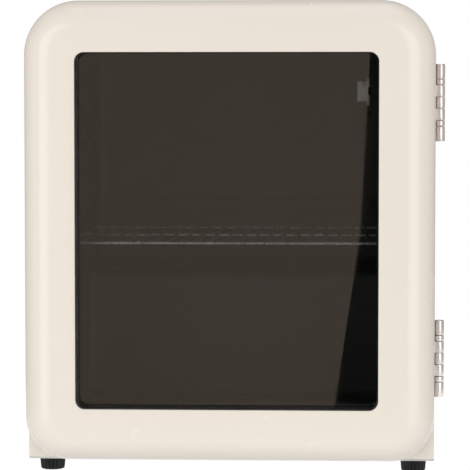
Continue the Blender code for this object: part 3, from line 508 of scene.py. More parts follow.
glow, tree = bare_material("haze_glow")
shine = place_node(tree, "ShaderNodeEmission", {"Color": (1.0, 0.76, 0.63, 1), "Strength": 0.150})
place_node(tree, "ShaderNodeOutputMaterial", {0: shine})
card_mesh.materials.append(glow)
card.visible_camera = False
card.visible_diffuse = False
card.visible_shadow = False
card.visible_transmission = False
card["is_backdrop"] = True

# %% The floor
# It glows a little under its own grey, so that it reads white with a faint contact shadow, and fades out.
bm = bmesh.new()
bmesh.ops.create_circle(bm, cap_ends=True, segments=96, radius=0.9)
floor = placed("floor", to_mesh(bm, "floor"))
floor.location.z = -0.0005
pale, tree = bare_material("pale_floor")
where = place_node(tree, "ShaderNodeTexCoord").outputs["Object"]
far = maths(tree, "LENGTH", where, kind="ShaderNodeVectorMath").outputs["Value"]
fade = spread(tree, far, 0.0, 1.0, 0.45, 0.88)
matt = place_node(tree, "ShaderNodeBsdfDiffuse", {"Color": (0.15, 0.15, 0.15, 1)})
lift = place_node(tree, "ShaderNodeEmission", {"Color": (1, 1, 1, 1), "Strength": 0.95})
both = place_node(tree, "ShaderNodeAddShader", {0: matt, 1: lift})
clear = place_node(tree, "ShaderNodeBsdfTransparent")
ground = place_node(tree, "ShaderNodeMixShader", {0: fade, 1: both, 2: clear})
place_node(tree, "ShaderNodeOutputMaterial", {0: ground})
floor.data.materials.append(pale)
floor.visible_diffuse = False
floor.visible_shadow = False
floor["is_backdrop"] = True

view = bpy.context.scene.view_settings
view.view_transform = "Standard"
view.look = "None"
view.exposure = 0.0
view.gamma = 1.0
print("lights:", len(bpy.data.lights))

# %% [markdown]
# ## Finishes
#
# Every finish starts from the same recipe, read in object coordinates so that it has real scale: a slow
# drift between two close tones, a middle-sized change in roughness, and a fine grain as a bump with a
# height in metres. Some are then changed to suit: the enamel gets a clear coat, the zinc sheet gets its
# crystals, the copper its tarnish.

# %% The base recipe


def noise(tree, where, scale, detail=3.0, stretch=None, rough=0.55):
    if stretch:
        where = place_node(tree, "ShaderNodeMapping", {"Vector": where, "Scale": stretch}).outputs[0]
    return place_node(
        tree, "ShaderNodeTexNoise", {"Vector": where, "Scale": scale, "Detail": detail, "Roughness": rough}
    ).outputs["Fac"]


def blend_tones(tree, factor, one, other):
    mixer = place_node(tree, "ShaderNodeMix", data_type="RGBA")
    mixer.clamp_factor = True
    for socket, value in ((0, factor), (6, one), (7, other)):
        if isinstance(value, bpy.types.NodeSocket):
            tree.links.new(value, mixer.inputs[socket])
        else:
            mixer.inputs[socket].default_value = (*value, 1.0) if isinstance(value, tuple) else value
    return mixer.outputs[2]


def finish(name, light, dark, roughness, blotch=9.0, grain=900.0, height=0.00003, metal=0.0, stretch=None):
    """A Principled surface with drift, uneven roughness and grain. Returns its parts for more work."""
    made = bpy.data.materials.new(name)
    made.use_nodes = True
    made.diffuse_color = (*light, 1.0)
    tree = made.node_tree
    shader = tree.nodes["Principled BSDF"]
    where = place_node(tree, "ShaderNodeTexCoord").outputs["Object"]
    drift = spread(tree, noise(tree, where, blotch), 0.0, 1.0)
    tone = blend_tones(tree, drift, dark, light)
    tree.links.new(tone, shader.inputs["Base Color"])
    uneven = spread(tree, noise(tree, where, blotch * 6, 4.0, stretch), *roughness)
    tree.links.new(uneven, shader.inputs["Roughness"])
    fine = noise(tree, where, grain, 2.0, stretch)
    bump = place_node(tree, "ShaderNodeBump", {"Strength": 1.0, "Distance": height, "Height": fine})
    tree.links.new(bump.outputs[0], shader.inputs["Normal"])
    shader.inputs["Metallic"].default_value = metal
    return {"material": made, "tree": tree, "shader": shader, "where": where, "tone": tone, "bump": bump}


# %% The table of finishes
# Light and dark tone, roughness, then the scale of the drift, the scale and height of the grain, how
# metallic it is, and how its grain is stretched.
FINISHES = {
    "cream_enamel": ((0.805, 0.750, 0.684), (0.792, 0.734, 0.667), (0.20, 0.28), 5, 420, 6e-6),
    "dark_liner": ((0.014, 0.012, 0.011), (0.010, 0.009, 0.008), (0.42, 0.58), 14, 1500, 3e-5),
    "black_moulding": ((0.011, 0.010, 0.010), (0.006, 0.0055, 0.0055), (0.38, 0.55), 25, 1800, 4e-5),
    "white_moulding": ((0.74, 0.735, 0.70), (0.69, 0.68, 0.64), (0.30, 0.44), 20, 1600, 2e-5),
    "black_paint": ((0.016, 0.016, 0.017), (0.008, 0.008, 0.009), (0.22, 0.42), 18, 500, 3e-5),
    "rubber": ((0.020, 0.019, 0.019), (0.012, 0.012, 0.012), (0.62, 0.80), 30, 1200, 3e-5),
    "magnet": ((0.050, 0.046, 0.044), (0.030, 0.028, 0.027), (0.55, 0.75), 40, 2200, 4e-5),
    "foam": ((0.80, 0.72, 0.48), (0.68, 0.55, 0.30), (0.85, 0.97), 16, 300, 4e-4),
    "zinc_sheet": ((0.52, 0.54, 0.555), (0.44, 0.46, 0.475), (0.34, 0.46), 12, 900, 1e-5, 1),
    "chrome": ((0.92, 0.87, 0.85), (0.85, 0.80, 0.78), (0.30, 0.38), 30, 900, 3e-6, 1, (1, 1, 0.05)),
    "steel": ((0.56, 0.55, 0.54), (0.44, 0.43, 0.42), (0.24, 0.40), 40, 1600, 1e-5, 1),
    "aluminium": ((0.74, 0.75, 0.76), (0.62, 0.63, 0.65), (0.32, 0.48), 20, 1100, 1e-5, 1, (0.06, 1, 1)),
    "copper": ((0.80, 0.40, 0.26), (0.62, 0.29, 0.18), (0.24, 0.42), 35, 900, 1e-5, 1),
    "frosted_lens": ((0.86, 0.86, 0.82), (0.80, 0.80, 0.76), (0.35, 0.50), 30, 1400, 3e-5),
}
SLOT_NAMES = {"cream_enamel": "enamel", "frosted_lens": "lens"}
made = {SLOT_NAMES.get(name, name): finish(name, *row) for name, row in FINISHES.items()}
look = {slot: parts["material"] for slot, parts in made.items()}

# The enamel has a clear gloss, the white mouldings and the lens let light in, and rubber has a dusty sheen.
TOUCHES = {
    "enamel": {"Coat Weight": 0.25, "Coat Roughness": 0.10, "IOR": 1.45},
    "black_moulding": {"Specular IOR Level": 0.32},
    "white_moulding": {"Subsurface Weight": 0.05, "Subsurface Scale": 0.004},
    "rubber": {"Sheen Weight": 0.12, "Sheen Roughness": 0.5},
    "lens": {"Transmission Weight": 0.6, "IOR": 1.49},
}
for slot, values in TOUCHES.items():
    for name, value in values.items():
        made[slot]["shader"].inputs[name].default_value = value

# %% Cells, patches and crystals
# Black mouldings have spark-eroded grain, and foam has a skin of tiny closed cells.
for slot, scale in (("black_moulding", 1400.0), ("foam", 450.0)):
    tree, bump = made[slot]["tree"], made[slot]["bump"]
    cells = place_node(tree, "ShaderNodeTexVoronoi", {"Vector": made[slot]["where"], "Scale": scale})
    tree.links.new(cells.outputs["Distance"], bump.inputs["Height"])

# Dust lies on the black paint in patches, and copper is brown where it has been handled.
for slot, scale, most, start, stop, tone in (
    ("black_paint", 45.0, 0.22, 0.50, 0.85, (0.19, 0.17, 0.15)),
    ("copper", 70.0, 0.75, 0.48, 0.72, (0.17, 0.085, 0.050)),
):
    parts, tree = made[slot], made[slot]["tree"]
    patches = spread(tree, noise(tree, parts["where"], scale, 6.0), 0.0, most, start, stop)
    tree.links.new(blend_tones(tree, patches, parts["tone"], tone), parts["shader"].inputs["Base Color"])

# Zinc sheet: frozen crystals, each with its own tone and its own gloss.
zinc, tree = made["zinc_sheet"], made["zinc_sheet"]["tree"]
crystals = place_node(tree, "ShaderNodeTexVoronoi", {"Vector": zinc["where"], "Scale": 95.0})
crystal = place_node(tree, "ShaderNodeSeparateColor", {0: crystals.outputs["Color"]})
spangled = blend_tones(tree, crystal.outputs[0], (0.47, 0.49, 0.50), (0.66, 0.68, 0.69))
tree.links.new(spangled, zinc["shader"].inputs["Base Color"])
glint = spread(tree, crystal.outputs[1], 0.28, 0.46, 0.0, 1.0)
tree.links.new(glint, zinc["shader"].inputs["Roughness"])

# %% [markdown]
# Glass is two things at once: what passes through and what its faces mirror. Flat panes don't bend the
# view, so a clear shader mixed with a mirror is enough, and it lets light into the cabinet. The share
# that is mirrored rises towards grazing angles, as the fifth power of the facing. The inner pane has a
# metal-oxide film that keeps heat out, so it mirrors more.

# %% Glass


def pane_look(name, head_on, tint, smear):
    made, tree = bare_material(name)
    where = place_node(tree, "ShaderNodeTexCoord").outputs["Object"]
    edge = place_node(tree, "ShaderNodeLayerWeight", {"Blend": 0.5}).outputs["Facing"]
    share = spread(tree, maths(tree, "POWER", edge, 5.0), head_on, 0.9, 0.0, 1.0)
    wiped = spread(tree, noise(tree, where, 26.0, 5.0, (1, 1, 0.35)), 0.0, smear)
    clear = place_node(tree, "ShaderNodeBsdfTransparent", {"Color": (*tint, 1)})
    mirror = place_node(tree, "ShaderNodeBsdfGlossy", {"Color": (1, 1, 1, 1), "Roughness": wiped})
    glass = place_node(tree, "ShaderNodeMixShader", {0: share, 1: clear, 2: mirror})
    place_node(tree, "ShaderNodeOutputMaterial", {0: glass})
    return made


look["glass"] = pane_look("outer_glass_clear", 0.035, (0.975, 0.985, 0.98), 0.03)
look["coated_glass"] = pane_look("inner_glass_coated", 0.16, (0.93, 0.945, 0.94), 0.04)
print("finishes:", sorted(look))

# %% [markdown]
# ## Finishing a piece
#
# A finished piece has its material and its body, and the solids that it stands for are hidden.

# %% Finish a piece


def coated(mesh, coat):
    mesh.materials.clear()
    mesh.materials.append(coat)
    mesh.polygons.foreach_set("material_index", [0] * len(mesh.polygons))


def piece(name, mesh, *stands_for, body=None, slot=None, coat=None):
    """Gives a mesh its finish and its body, and hides the solids that it stands for."""
    first = stands_for[0] if stands_for else None
    slot = slot or slot_of[first]
    mesh.name = name
    coated(mesh, coat or look[slot])
    obj = placed(name, mesh)
    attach(obj, body or body_of[first])
    if stands_for:
        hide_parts(*stands_for)
    print(f"{name}: {len(mesh.polygons)} faces")


for name, obj in nodes.items():
    coated(obj.data, look[slot_of[name]])
print("every node has its finish")

# %% [markdown]
# Many pressed and moulded parts already have their whole shape in the frame. They only need a small round
# on every sharp edge.

# %% Softened pieces
for node, name, width, segments in (
    ("base_pan", "base_pan_zinc", 0.3, 2),
    ("bay_panel", "bay_panel_zinc", 0.3, 2),
    ("light_switch", "lamp_rocker", 0.5, 3),
    ("lamp_board", "lamp_board_fine", 0.25, 2),
    ("thermostat_body", "thermostat_case", 0.6, 2),
    ("drip_channel", "gutter_moulded", 0.45, 3),
    ("compressor_base", "compressor_plate", 0.5, 2),
    ("relay_cover", "relay_cover_moulded", 0.5, 2),
    ("evaporation_tray", "melt_tray", 0.7, 3),
    ("wall_spacer_left", "wall_spacer_left_moulded", 0.5, 2),
    ("wall_spacer_right", "wall_spacer_right_moulded", 0.5, 2),
):
    piece(name, softened(node, width * MM, segments), node)
piece("foot_plate_pressed", softened("foot_plate", 0.5 * MM, 3), "foot_plate", slot="black_paint")

# %% [markdown]
# ## The door frame
#
# The real frame is one enamelled steel pressing. Its front rolls back at the edge in a quarter ellipse,
# so it looks like a pillow. A loft suits it: the outline is drawn at many small insets, and each inset
# has a depth. Between edge and window the outline changes from a large corner radius to a small one,
# which a swept profile couldn't do.

# %% The door's outline and profiles


def door_outline(inset):
    """The door's outline moved inwards. Upper and lower corners have their own radii."""
    upper = max(CORNER - inset, WINDOW_CORNER)
    lower = max(DOOR_LOWER_CORNER - inset, WINDOW_CORNER)
    shift = WINDOW_SHIFT * inset / SIDE_RAIL
    left, right = door_low.x + inset + shift, door_high.x - inset + shift
    bottom = door_low.z + inset * BOTTOM_RAIL / SIDE_RAIL
    top = door_high.z - inset * TOP_RAIL / SIDE_RAIL
    return rounded(left, right, bottom, top, upper, lower)


def door_ring(name, profile):
    """A ring round the window, from (inset, depth behind the front) pairs."""
    return loft(name, [at_depth(door_outline(i), DOOR_FRONT + d) for i, d in profile], hollow=True)


def rolled_edge(shrink, steps=18):
    points = []
    for k in range(steps + 1):
        turn = radians(90 * k / steps)
        inset = ROLL_WIDE - (ROLL_WIDE - shrink) * cos(turn)
        points.append((inset, ROLL_DEEP - (ROLL_DEEP - shrink) * sin(turn)))
    return points


def arc(centre_in, centre_deep, radius_in, radius_deep, start, stop, steps=5):
    turns = [radians(start + (stop - start) * k / steps) for k in range(steps + 1)]
    return [(centre_in + radius_in * cos(t), centre_deep + radius_deep * sin(t)) for t in turns]


# %% The door frame
BACK = DOOR_BACK - DOOR_FRONT
LIP = 1.0 * MM
lip = arc(SIDE_RAIL - LIP, LIP, LIP, LIP, -90, 0)
side = [(0.6 * MM, BACK), (0.15 * MM, BACK - 0.3 * MM), (0.0, BACK - 1.0 * MM)]
flat = [(ROLL_WIDE + (SIDE_RAIL - LIP - ROLL_WIDE) * k / 6, 0.0) for k in range(1, 6)]
skin_profile = [
    *side,
    *rolled_edge(0.0),
    *flat,
    *lip,
    (SIDE_RAIL, SKIN),
    *rolled_edge(SKIN, 8)[::-1],
    (SKIN, BACK),
]
piece("door_frame_enamelled", door_ring("skin", skin_profile), "door_skin")

# %% The door's back, seals and glazing
inner = SKIN + GAP
plate_front = BACK - 3 * MM
rim = SIDE_RAIL - 1.2 * MM
opening = SIDE_RAIL + 1.8 * MM
rear_pane = INNER_PANE + PANE + GAP
groove_in, groove_out, groove = 26.8 * MM, 31.2 * MM, 2 * MM
cover_profile = [
    (inner, BACK),
    (inner, plate_front),
    (rim, plate_front),
    (rim, rear_pane),
    (opening, rear_pane),
    (opening, 38 * MM),
    *arc(opening - 5.2 * MM, 39.5 * MM, 5.2 * MM, BACK - 39.5 * MM, 0, 60, 6),
    (groove_out + 12 * MM, BACK),
    (groove_out + 11.6 * MM, BACK - 0.6 * MM),
    (groove_out + 9.4 * MM, BACK - 0.6 * MM),
    (groove_out + 9 * MM, BACK),
    (groove_out, BACK),
    (groove_out, BACK - groove),
    (groove_in, BACK - groove),
    (groove_in, BACK),
]
piece("door_back_moulding", door_ring("cover", cover_profile), "door_liner")

frame_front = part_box("front_frame")[0].y
face = frame_front - DOOR_FRONT - GAP
seat = BACK + GAP
edge, far_edge = 23 * MM, 34.5 * MM
bellows = []
for k in range(5):
    fold_out = 0.9 * MM if k % 2 else 0.0
    bellows.append((edge + fold_out, seat + (face - 1.2 * MM - seat) * k / 4))
gasket_profile = [
    (27.1 * MM, BACK - 1.7 * MM),
    (30.9 * MM, BACK - 1.7 * MM),
    (30.9 * MM, seat),
    (far_edge, seat),
    (far_edge, face - 4.4 * MM),
    (25.5 * MM, face - 4.4 * MM),
    (25.5 * MM, face - 1 * MM),
    (far_edge, face - 1 * MM),
    (far_edge, face - 0.3 * MM),
    (far_edge - 0.4 * MM, face),
    (edge + 0.8 * MM, face),
    (edge + 0.2 * MM, face - 0.4 * MM),
    *bellows[::-1],
    (27.1 * MM, seat),
]
piece("door_gasket_bellows", door_ring("gasket", gasket_profile), "door_gasket")


for node, wide in (("glazing_seal", 6.8 * MM), ("glass_spacer", 5.2 * MM), ("magnet_strip", 8.4 * MM)):
    low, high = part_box(node)
    a = (low.x - door_low.x) / (1 + WINDOW_SHIFT / SIDE_RAIL)
    b, near, far = a + wide, low.y - DOOR_FRONT, high.y - DOOR_FRONT
    coat = look["black_moulding"] if node == "glass_spacer" else None
    ring = door_ring(node, [(a, near), (b, near), (b, far), (a, far)])
    piece(f"{node}_fine", ring, node, coat=coat)

for name, node, coat in (
    ("outer_pane", "outer_glass", "glass"),
    ("inner_pane", "inner_glass", "coated_glass"),
):
    low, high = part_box(node)
    bevel = 0.4 * MM
    rings = [
        at_depth(door_outline(PANE_EDGE + bevel), low.y),
        at_depth(door_outline(PANE_EDGE), low.y + bevel),
        at_depth(door_outline(PANE_EDGE), high.y - bevel),
        at_depth(door_outline(PANE_EDGE + bevel), high.y),
    ]
    piece(name, shaded(loft(name, rings), 15), node, coat=look[coat])

# %% [markdown]
# ## The cabinet
#
# The wrap is one sheet bent over the top and down both sides, closed in front by an enamelled frame and
# at the back by a zinc-coated panel. The outlines are the frame's own, drawn with more points, and the
# sheet's folded front edge gets a small round.

# %% Cabinet sheet metal


def arch(inset, bottom, steps=24):
    """The cabinet's sides and rounded top as an open line, from lower right to lower left."""
    left, right = cabinet_low.x + inset, cabinet_high.x - inset
    whole = rounded(left, right, bottom, cabinet_high.z - inset, CORNER - inset, SQUARE, steps)
    top = whole[steps + 1 : 3 * (steps + 1)]
    return [(right, bottom), *top, (left, bottom)]


SHEET = 1.0 * MM
wrap_bottom = cabinet_low.z
wrap_levels = [(0.35 * MM, cabinet_low.y), (0.0, cabinet_low.y + 0.35 * MM)]
wrap_levels += [(0.0, cabinet_high.y - 0.35 * MM), (0.35 * MM, cabinet_high.y)]
rings = []
for inset, y in wrap_levels:
    outside = arch(inset, wrap_bottom)
    inside = arch(SHEET - inset * 0.5, wrap_bottom)[::-1]
    rings.append(at_depth(outside + inside, y))
piece("cabinet_sheet", loft("wrap", rings), "cabinet_wrap")

front_low, front_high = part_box("front_frame")
back_low, back_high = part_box("back_panel")
liner_low, liner_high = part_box("inner_liner")
LINER = 1.5 * MM
cold_low, cold_high = liner_low + Vector((LINER,) * 3), liner_high - Vector((LINER,) * 3)
COLD_CORNER = 12 * MM
FOLD = 0.5 * MM


def cabinet_face(inset):
    x0, x1, z0, z1 = front_low.x + inset, front_high.x - inset, front_low.z + inset, front_high.z - inset
    return rounded(x0, x1, z0, z1, CORNER - inset, SQUARE - inset * 0.5)


def mouth_line(outset):
    x0, x1, z0, z1 = cold_low.x - outset, cold_high.x + outset, cold_low.z - outset, cold_high.z + outset
    return rounded(x0, x1, z0, z1, COLD_CORNER + outset, COLD_CORNER + outset)


eased = ((FOLD, 0.0), (0.15 * MM, 0.15 * MM), (0.0, FOLD))
rings = [at_depth(cabinet_face(inset), front_low.y + depth) for inset, depth in eased]
rings += [at_depth(cabinet_face(0.0), front_high.y), at_depth(mouth_line(0.0), front_high.y)]
rings += [at_depth(mouth_line(outset), front_low.y + depth) for outset, depth in eased[::-1]]
piece("front_frame_enamelled", loft("front", rings, hollow=True), "front_frame")

# %% The liner
# One vacuum-formed tub with a step over the compressor and two pairs of shelf ledges.
STEP_FRONT, STEP_TOP = 0.055, 0.205
LEDGE_TOPS, LEDGE_FRONT, LEDGE_BACK = (0.2482, 0.360), -0.150, 0.140
LEDGE_WIDE, LEDGE_THICK, LEDGE_ROOT = 8 * MM, 5 * MM, 0.8 * MM


def stepped_block(name, grow, front):
    low, high = cold_low.z - grow, cold_high.z + grow
    back = cold_high.y + grow
    step_y, step_z = STEP_FRONT + grow, STEP_TOP - grow
    side = ((front, low), (step_y, low), (step_y, step_z), (back, step_z), (back, high), (front, high))
    bm = bmesh.new()
    face = bm.faces.new([bm.verts.new((cold_low.x - grow, y, z)) for y, z in side])
    moved = bmesh.ops.extrude_face_region(bm, geom=[face])["geom"]
    verts = [v for v in moved if isinstance(v, bmesh.types.BMVert)]
    bmesh.ops.translate(bm, verts=verts, vec=(cold_high.x - cold_low.x + 2 * grow, 0, 0))
    edges = [e for e in bm.edges if any(v.co.y > front + MM for v in e.verts)]
    bmesh.ops.bevel(bm, geom=edges, offset=COLD_CORNER + grow, segments=9, profile=0.5, affect="EDGES")
    return to_mesh(bm, name)


tub_front = liner_low.y
tub = stepped_block("tub", LINER, tub_front)
tub = cut(tub, stepped_block("space", 0.0, tub_front - 0.01))
ledges = []
for top in LEDGE_TOPS:
    for wall, way in ((cold_low.x, 1), (cold_high.x, -1)):
        x0, x1 = sorted((wall - way * LEDGE_ROOT, wall + way * LEDGE_WIDE))
        ledge = block("ledge", (x0, LEDGE_FRONT, top - LEDGE_THICK), (x1, LEDGE_BACK, top))
        ledges.append(with_round_edges(ledge, 1.6 * MM, 4))
for ledge in ledges:
    tub = cut(tub, ledge, operation="UNION")
PORT_Z = 0.330
capillary_x, suction_x = MIDDLE - 0.138, MIDDLE - 0.120
drain_y, drain_z = 0.198, 0.2745
drain = turned("drain", ((5 * MM, -0.02), (5 * MM, 0.02)), (MIDDLE, cold_high.y, drain_z), "Y", 40)
tub = cut(tub, drain)
piece("liner_tub", tub, "inner_liner")

# %% Back panel
back_outline = arch(0.0, back_low.z)
back_panel = loft("back", [at_depth(back_outline, back_low.y), at_depth(back_outline, back_high.y)])
port_low = (capillary_x - 3 * MM, 0.20, PORT_Z - 5 * MM)
back_port = block("port", port_low, (suction_x + 5 * MM, 0.23, PORT_Z + 5 * MM))
back_panel = cut(back_panel, back_port)
piece("back_panel_zinc", back_panel, "back_panel")

# %% [markdown]
# ## Hinges
#
# Each butt hinge has two leaves in the seam behind the door, a barrel in seven lengths and a pin. The
# barrel is what shows from the front. Each length is turned with a small chamfer at both ends, so that a
# fine dark line shows where two meet.

# %% Hinges
AXIS_OUT = 5.5 * MM
AXIS_X, AXIS_Y = door_high.x + AXIS_OUT, -0.188
BARREL, BORE, PIN = 5.25 * MM, 3.3 * MM, 2.9 * MM
LEAF_FACE, LEAF_THICK, LEAF_WIDE = 5.2 * MM, 2.0 * MM, 20 * MM
KNUCKLES = (16 * MM, 6.5 * MM, 12.5 * MM, 12.5 * MM, 12.5 * MM, 6.5 * MM, 16 * MM)


def barrel(low, high, chamfer=0.55 * MM):
    eased = ((chamfer, 0.0), (chamfer * 0.3, chamfer * 0.3), (0.0, chamfer))
    outside = [(BARREL - cut_back, low + along) for cut_back, along in eased]
    outside += [(BARREL - cut_back, high - along) for cut_back, along in eased[::-1]]
    profile = [*outside, (BORE, high), (BORE, low)]
    return turned("barrel", profile, (AXIS_X, AXIS_Y, 0), sides=56, hollow=True)


def leaf(name, way, lengths, middle):
    """A leaf's plate with its share of the barrel. way is -1 for the door's leaf."""
    y0, y1 = sorted((AXIS_Y + way * LEAF_FACE, AXIS_Y + way * (LEAF_FACE - LEAF_THICK)))
    half = sum(KNUCKLES) / 2 - GAP / 2
    rim = AXIS_X - AXIS_OUT
    plate = block(name, (rim - LEAF_WIDE, y0, middle - half), (rim, y1, middle + half))
    plate = with_round_edges(plate, 0.35 * MM, 3)
    solids = [plate]
    for low, high in lengths:
        web = block("web", (rim - MM, y0, low + 0.3 * MM), (AXIS_X - 0.6 * MM, y1, high - 0.3 * MM))
        inside = BARREL - 0.4 * MM
        hole = turned("hole", ((inside, low), (inside, high)), (AXIS_X, AXIS_Y, 0), sides=40)
        solids += [cut(web, hole), barrel(low, high)]
    return joined(name, *solids)


hinge_middles = {}
for level in ("upper", "lower"):
    low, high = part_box(f"{level}_hinge_cabinet_leaf")
    middle = (low.z + high.z) / 2
    hinge_middles[level] = middle
    top = middle + sum(KNUCKLES) / 2
    spans = []
    for length in KNUCKLES:
        spans.append((top - length + GAP / 2, top - GAP / 2))
        top -= length
    cabinet_leaf, door_leaf = f"{level}_hinge_cabinet_leaf", f"{level}_hinge_door_leaf"
    piece(f"{cabinet_leaf}_chrome", leaf("leaf", 1, spans[0::3], middle), cabinet_leaf)
    piece(f"{door_leaf}_chrome", leaf("leaf", -1, (spans[2], spans[4]), middle), door_leaf)
    for place, span in (("top", spans[1]), ("bottom", spans[5])):
        ring = f"{level}_hinge_ring_{place}"
        piece(f"{ring}_chrome", barrel(*span, chamfer=0.9 * MM), ring)
    half = sum(KNUCKLES) / 2 - GAP
    tip = PIN - 0.8 * MM
    pin_profile = [(tip, -half), (PIN, -half + 0.8 * MM), (PIN, half - 0.8 * MM), (tip, half)]
    pin_mesh = turned("pin", pin_profile, (AXIS_X, AXIS_Y, middle), sides=40)
    piece(f"{level}_hinge_pin_steel", pin_mesh, f"{level}_hinge_pin")

# %% [markdown]
# ## Feet
#
# The front feet are black nylon pads with a steel-hard stud, and their rims are fluted so that fingers
# can turn them. The flute tree does the ribs.

# %% Feet
RIM_TOP, NECK, THREAD, THREAD_ROOT = 13.6 * MM, 6.0 * MM, 4.0 * MM, 3.55 * MM
NUT_BORE, NUT_SIDES = 4.5 * MM, 48
REAR_FOOT = [(8.5, 0.0), (10.2, 0.3), (11.6, 1.6), (12.2, 4.0), (12.2, 9.0), (11.4, 9.6), (11.4, 10.6)]
REAR_FOOT += [(12.6, 11.2), (13.0, 12.0)]
for side in ("left", "right"):
    low, high, centre = upright(f"front_foot_{side}")
    radius = (high.x - low.x) / 2
    profile = [(radius - 3.4 * MM, 0.0), (radius - 2.2 * MM, 0.25 * MM), (radius - 1.3 * MM, 1.0 * MM)]
    profile += [(radius - 0.9 * MM + 0.9 * MM * k / 8, (2.0 + 10.2 * k / 8) * MM) for k in range(9)]
    profile += [(radius - 0.4 * MM, RIM_TOP - 0.5 * MM), (radius - 1.2 * MM, RIM_TOP)]
    profile += [(NECK, RIM_TOP), (THREAD, RIM_TOP + 0.2 * MM)]
    z = RIM_TOP + 0.2 * MM
    while z < high.z - 1.2 * MM:
        profile += [(THREAD, z + 0.3 * MM), (THREAD_ROOT, z + 0.7 * MM)]
        z += 1.0 * MM
    profile += [(3.6 * MM, high.z - 0.6 * MM), (3.0 * MM, high.z)]
    blank = turned("foot", profile, centre, sides=180)
    sizes = {"Flutes": 20.0, "Depth": 1.9 * MM, "Centre": centre, "From": 0.4 * MM, "To": 13.4 * MM}
    foot = grown("foot", flute_tree, blank, look["black_moulding"], **sizes)
    piece(f"levelling_foot_{side}", foot, f"front_foot_{side}")

    low, high, centre = upright(f"rear_foot_{side}")
    profile = [*in_mm(REAR_FOOT), (13.0 * MM, high.z - 0.4 * MM), (12.6 * MM, high.z)]
    piece(f"rear_foot_{side}_moulded", turned("rear", profile, centre, sides=72), f"rear_foot_{side}")

    low, high, (x, y, _) = upright(f"foot_nut_{side}")
    reach = (high.x - low.x) / 2
    turns = [2 * pi * k / NUT_SIDES for k in range(NUT_SIDES)]
    levels = ((0.6 * MM, low.z), (0.0, low.z + 0.5 * MM), (0.0, high.z - 0.5 * MM), (0.6 * MM, high.z))
    nut_rings = []
    for shrink, z in levels:
        hexagon = []
        for turn in turns:
            flat_turn = (turn % (pi / 3)) - pi / 6
            r = min(reach * cos(pi / 6) / cos(flat_turn), reach - shrink)
            hexagon.append((x + r * cos(turn), y + r * sin(turn), z))
        nut_rings.append(hexagon)
    for z in (high.z, low.z):
        nut_rings.append([(x + NUT_BORE * cos(t), y + NUT_BORE * sin(t), z) for t in turns])
    piece(f"foot_nut_{side}_hex", loft("nut", nut_rings, hollow=True), f"foot_nut_{side}")

# %% [markdown]
# ## The shelf
#
# Round wires at an even pitch, welded to three cross bars. The row tree lays down both sets.

# %% The shelf


def wire_row(slot, count, first, step, run, radius, sides):
    sizes = {"Count": count, "First": first, "Step": step, "Run": run, "Radius": radius, "Sides": sides}
    return grown("wires", row_tree, points_mesh([(0, 0, 0)]), look[slot], **sizes)


low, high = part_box("wire_shelf")
wide, deep, WIRE = high - low
r, z = WIRE / 2, (low.z + high.z) / 2
WIRES, BARS, TRIM = 24, 3, 0.3 * MM
pitch = (wide - WIRE) / (WIRES - 1)
first, run = (low.x + r, low.y + TRIM, z), (0.0, deep - 2 * TRIM, 0.0)
wires = wire_row("steel", WIRES, first, (pitch, 0.0, 0.0), run, r * 0.98, 14)
first, run = (low.x + TRIM, low.y + r, z), (wide - 2 * TRIM, 0.0, 0.0)
bars = wire_row("steel", BARS, first, (0.0, (deep - WIRE) / (BARS - 1), 0.0), run, r, 16)
piece("shelf_of_round_wire", joined("shelf", wires, bars), "wire_shelf")
print("shelf pitch mm:", round(pitch / MM, 2))

# %% [markdown]
# ## Inside the cabinet
#
# The control box, the lamp's cover and the dial are mouldings with the small things that moulded parts
# have: vent slots, ribs in the lens, grip ridges round the dial.

# %% Controls
control_low, control_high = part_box("control_housing")
housing = merged_copy("control_housing")
slots = []
for k in range(7):
    y = control_low.y + 0.028 + 5.0 * MM * k
    slot_low = (control_low.x + 8 * MM, y, control_low.z - 2 * MM)
    slots.append(block("slot", slot_low, (control_high.x - 6 * MM, y + 2.2 * MM, control_low.z + 4 * MM)))
housing = cut(housing, *slots)
piece("control_box_moulded", with_round_edges(housing, 0.7 * MM), "control_housing")

knob_low, knob_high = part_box("thermostat_knob")
knob_y, knob_z = (knob_low.y + knob_high.y) / 2, (knob_low.z + knob_high.z) / 2
knob_face = knob_high.x
radius = (knob_high.y - knob_low.y) / 2
KNOB_GRIPS = 36


def dial_ring(r, along, ridge=0.0):
    ring = []
    for k in range(KNOB_GRIPS * 4):
        turn = 2 * pi * k / (KNOB_GRIPS * 4)
        reach = r - ridge * (0.5 - 0.5 * cos(KNOB_GRIPS * turn))
        ring.append((along, knob_y + reach * cos(turn), knob_z + reach * sin(turn)))
    return ring


RIDGE, GRIP_REACH = 0.5 * MM, 12 * MM
BORE_EDGE, DIAL_BACK = 3.4 * MM, knob_face - 8.8 * MM
dial_rings = [
    dial_ring(BORE_EDGE, knob_face),
    dial_ring(radius - 0.8 * MM, knob_face),
    dial_ring(radius, knob_face - 0.5 * MM, RIDGE),
    dial_ring(radius - 0.2 * MM, knob_face - 2.9 * MM, RIDGE),
    dial_ring(radius - 0.9 * MM, knob_face - 3.7 * MM),
]
for r, back in ((12.6, 4.0), (12.0, 4.6), (11.6, 8.2)):
    dial_rings.append(dial_ring(r * MM, knob_face - back * MM))
dial_rings += [dial_ring(11.0 * MM, DIAL_BACK), dial_ring(BORE_EDGE, DIAL_BACK)]
dial = loft("dial", dial_rings, hollow=True)
grip_low = (knob_low.x, knob_y - 2.5 * MM, knob_z - GRIP_REACH)
grip = block("grip", grip_low, (knob_face - 8.2 * MM, knob_y + 2.5 * MM, knob_z + GRIP_REACH))
grip = with_round_edges(grip, 1.1 * MM, 4)
dots = []
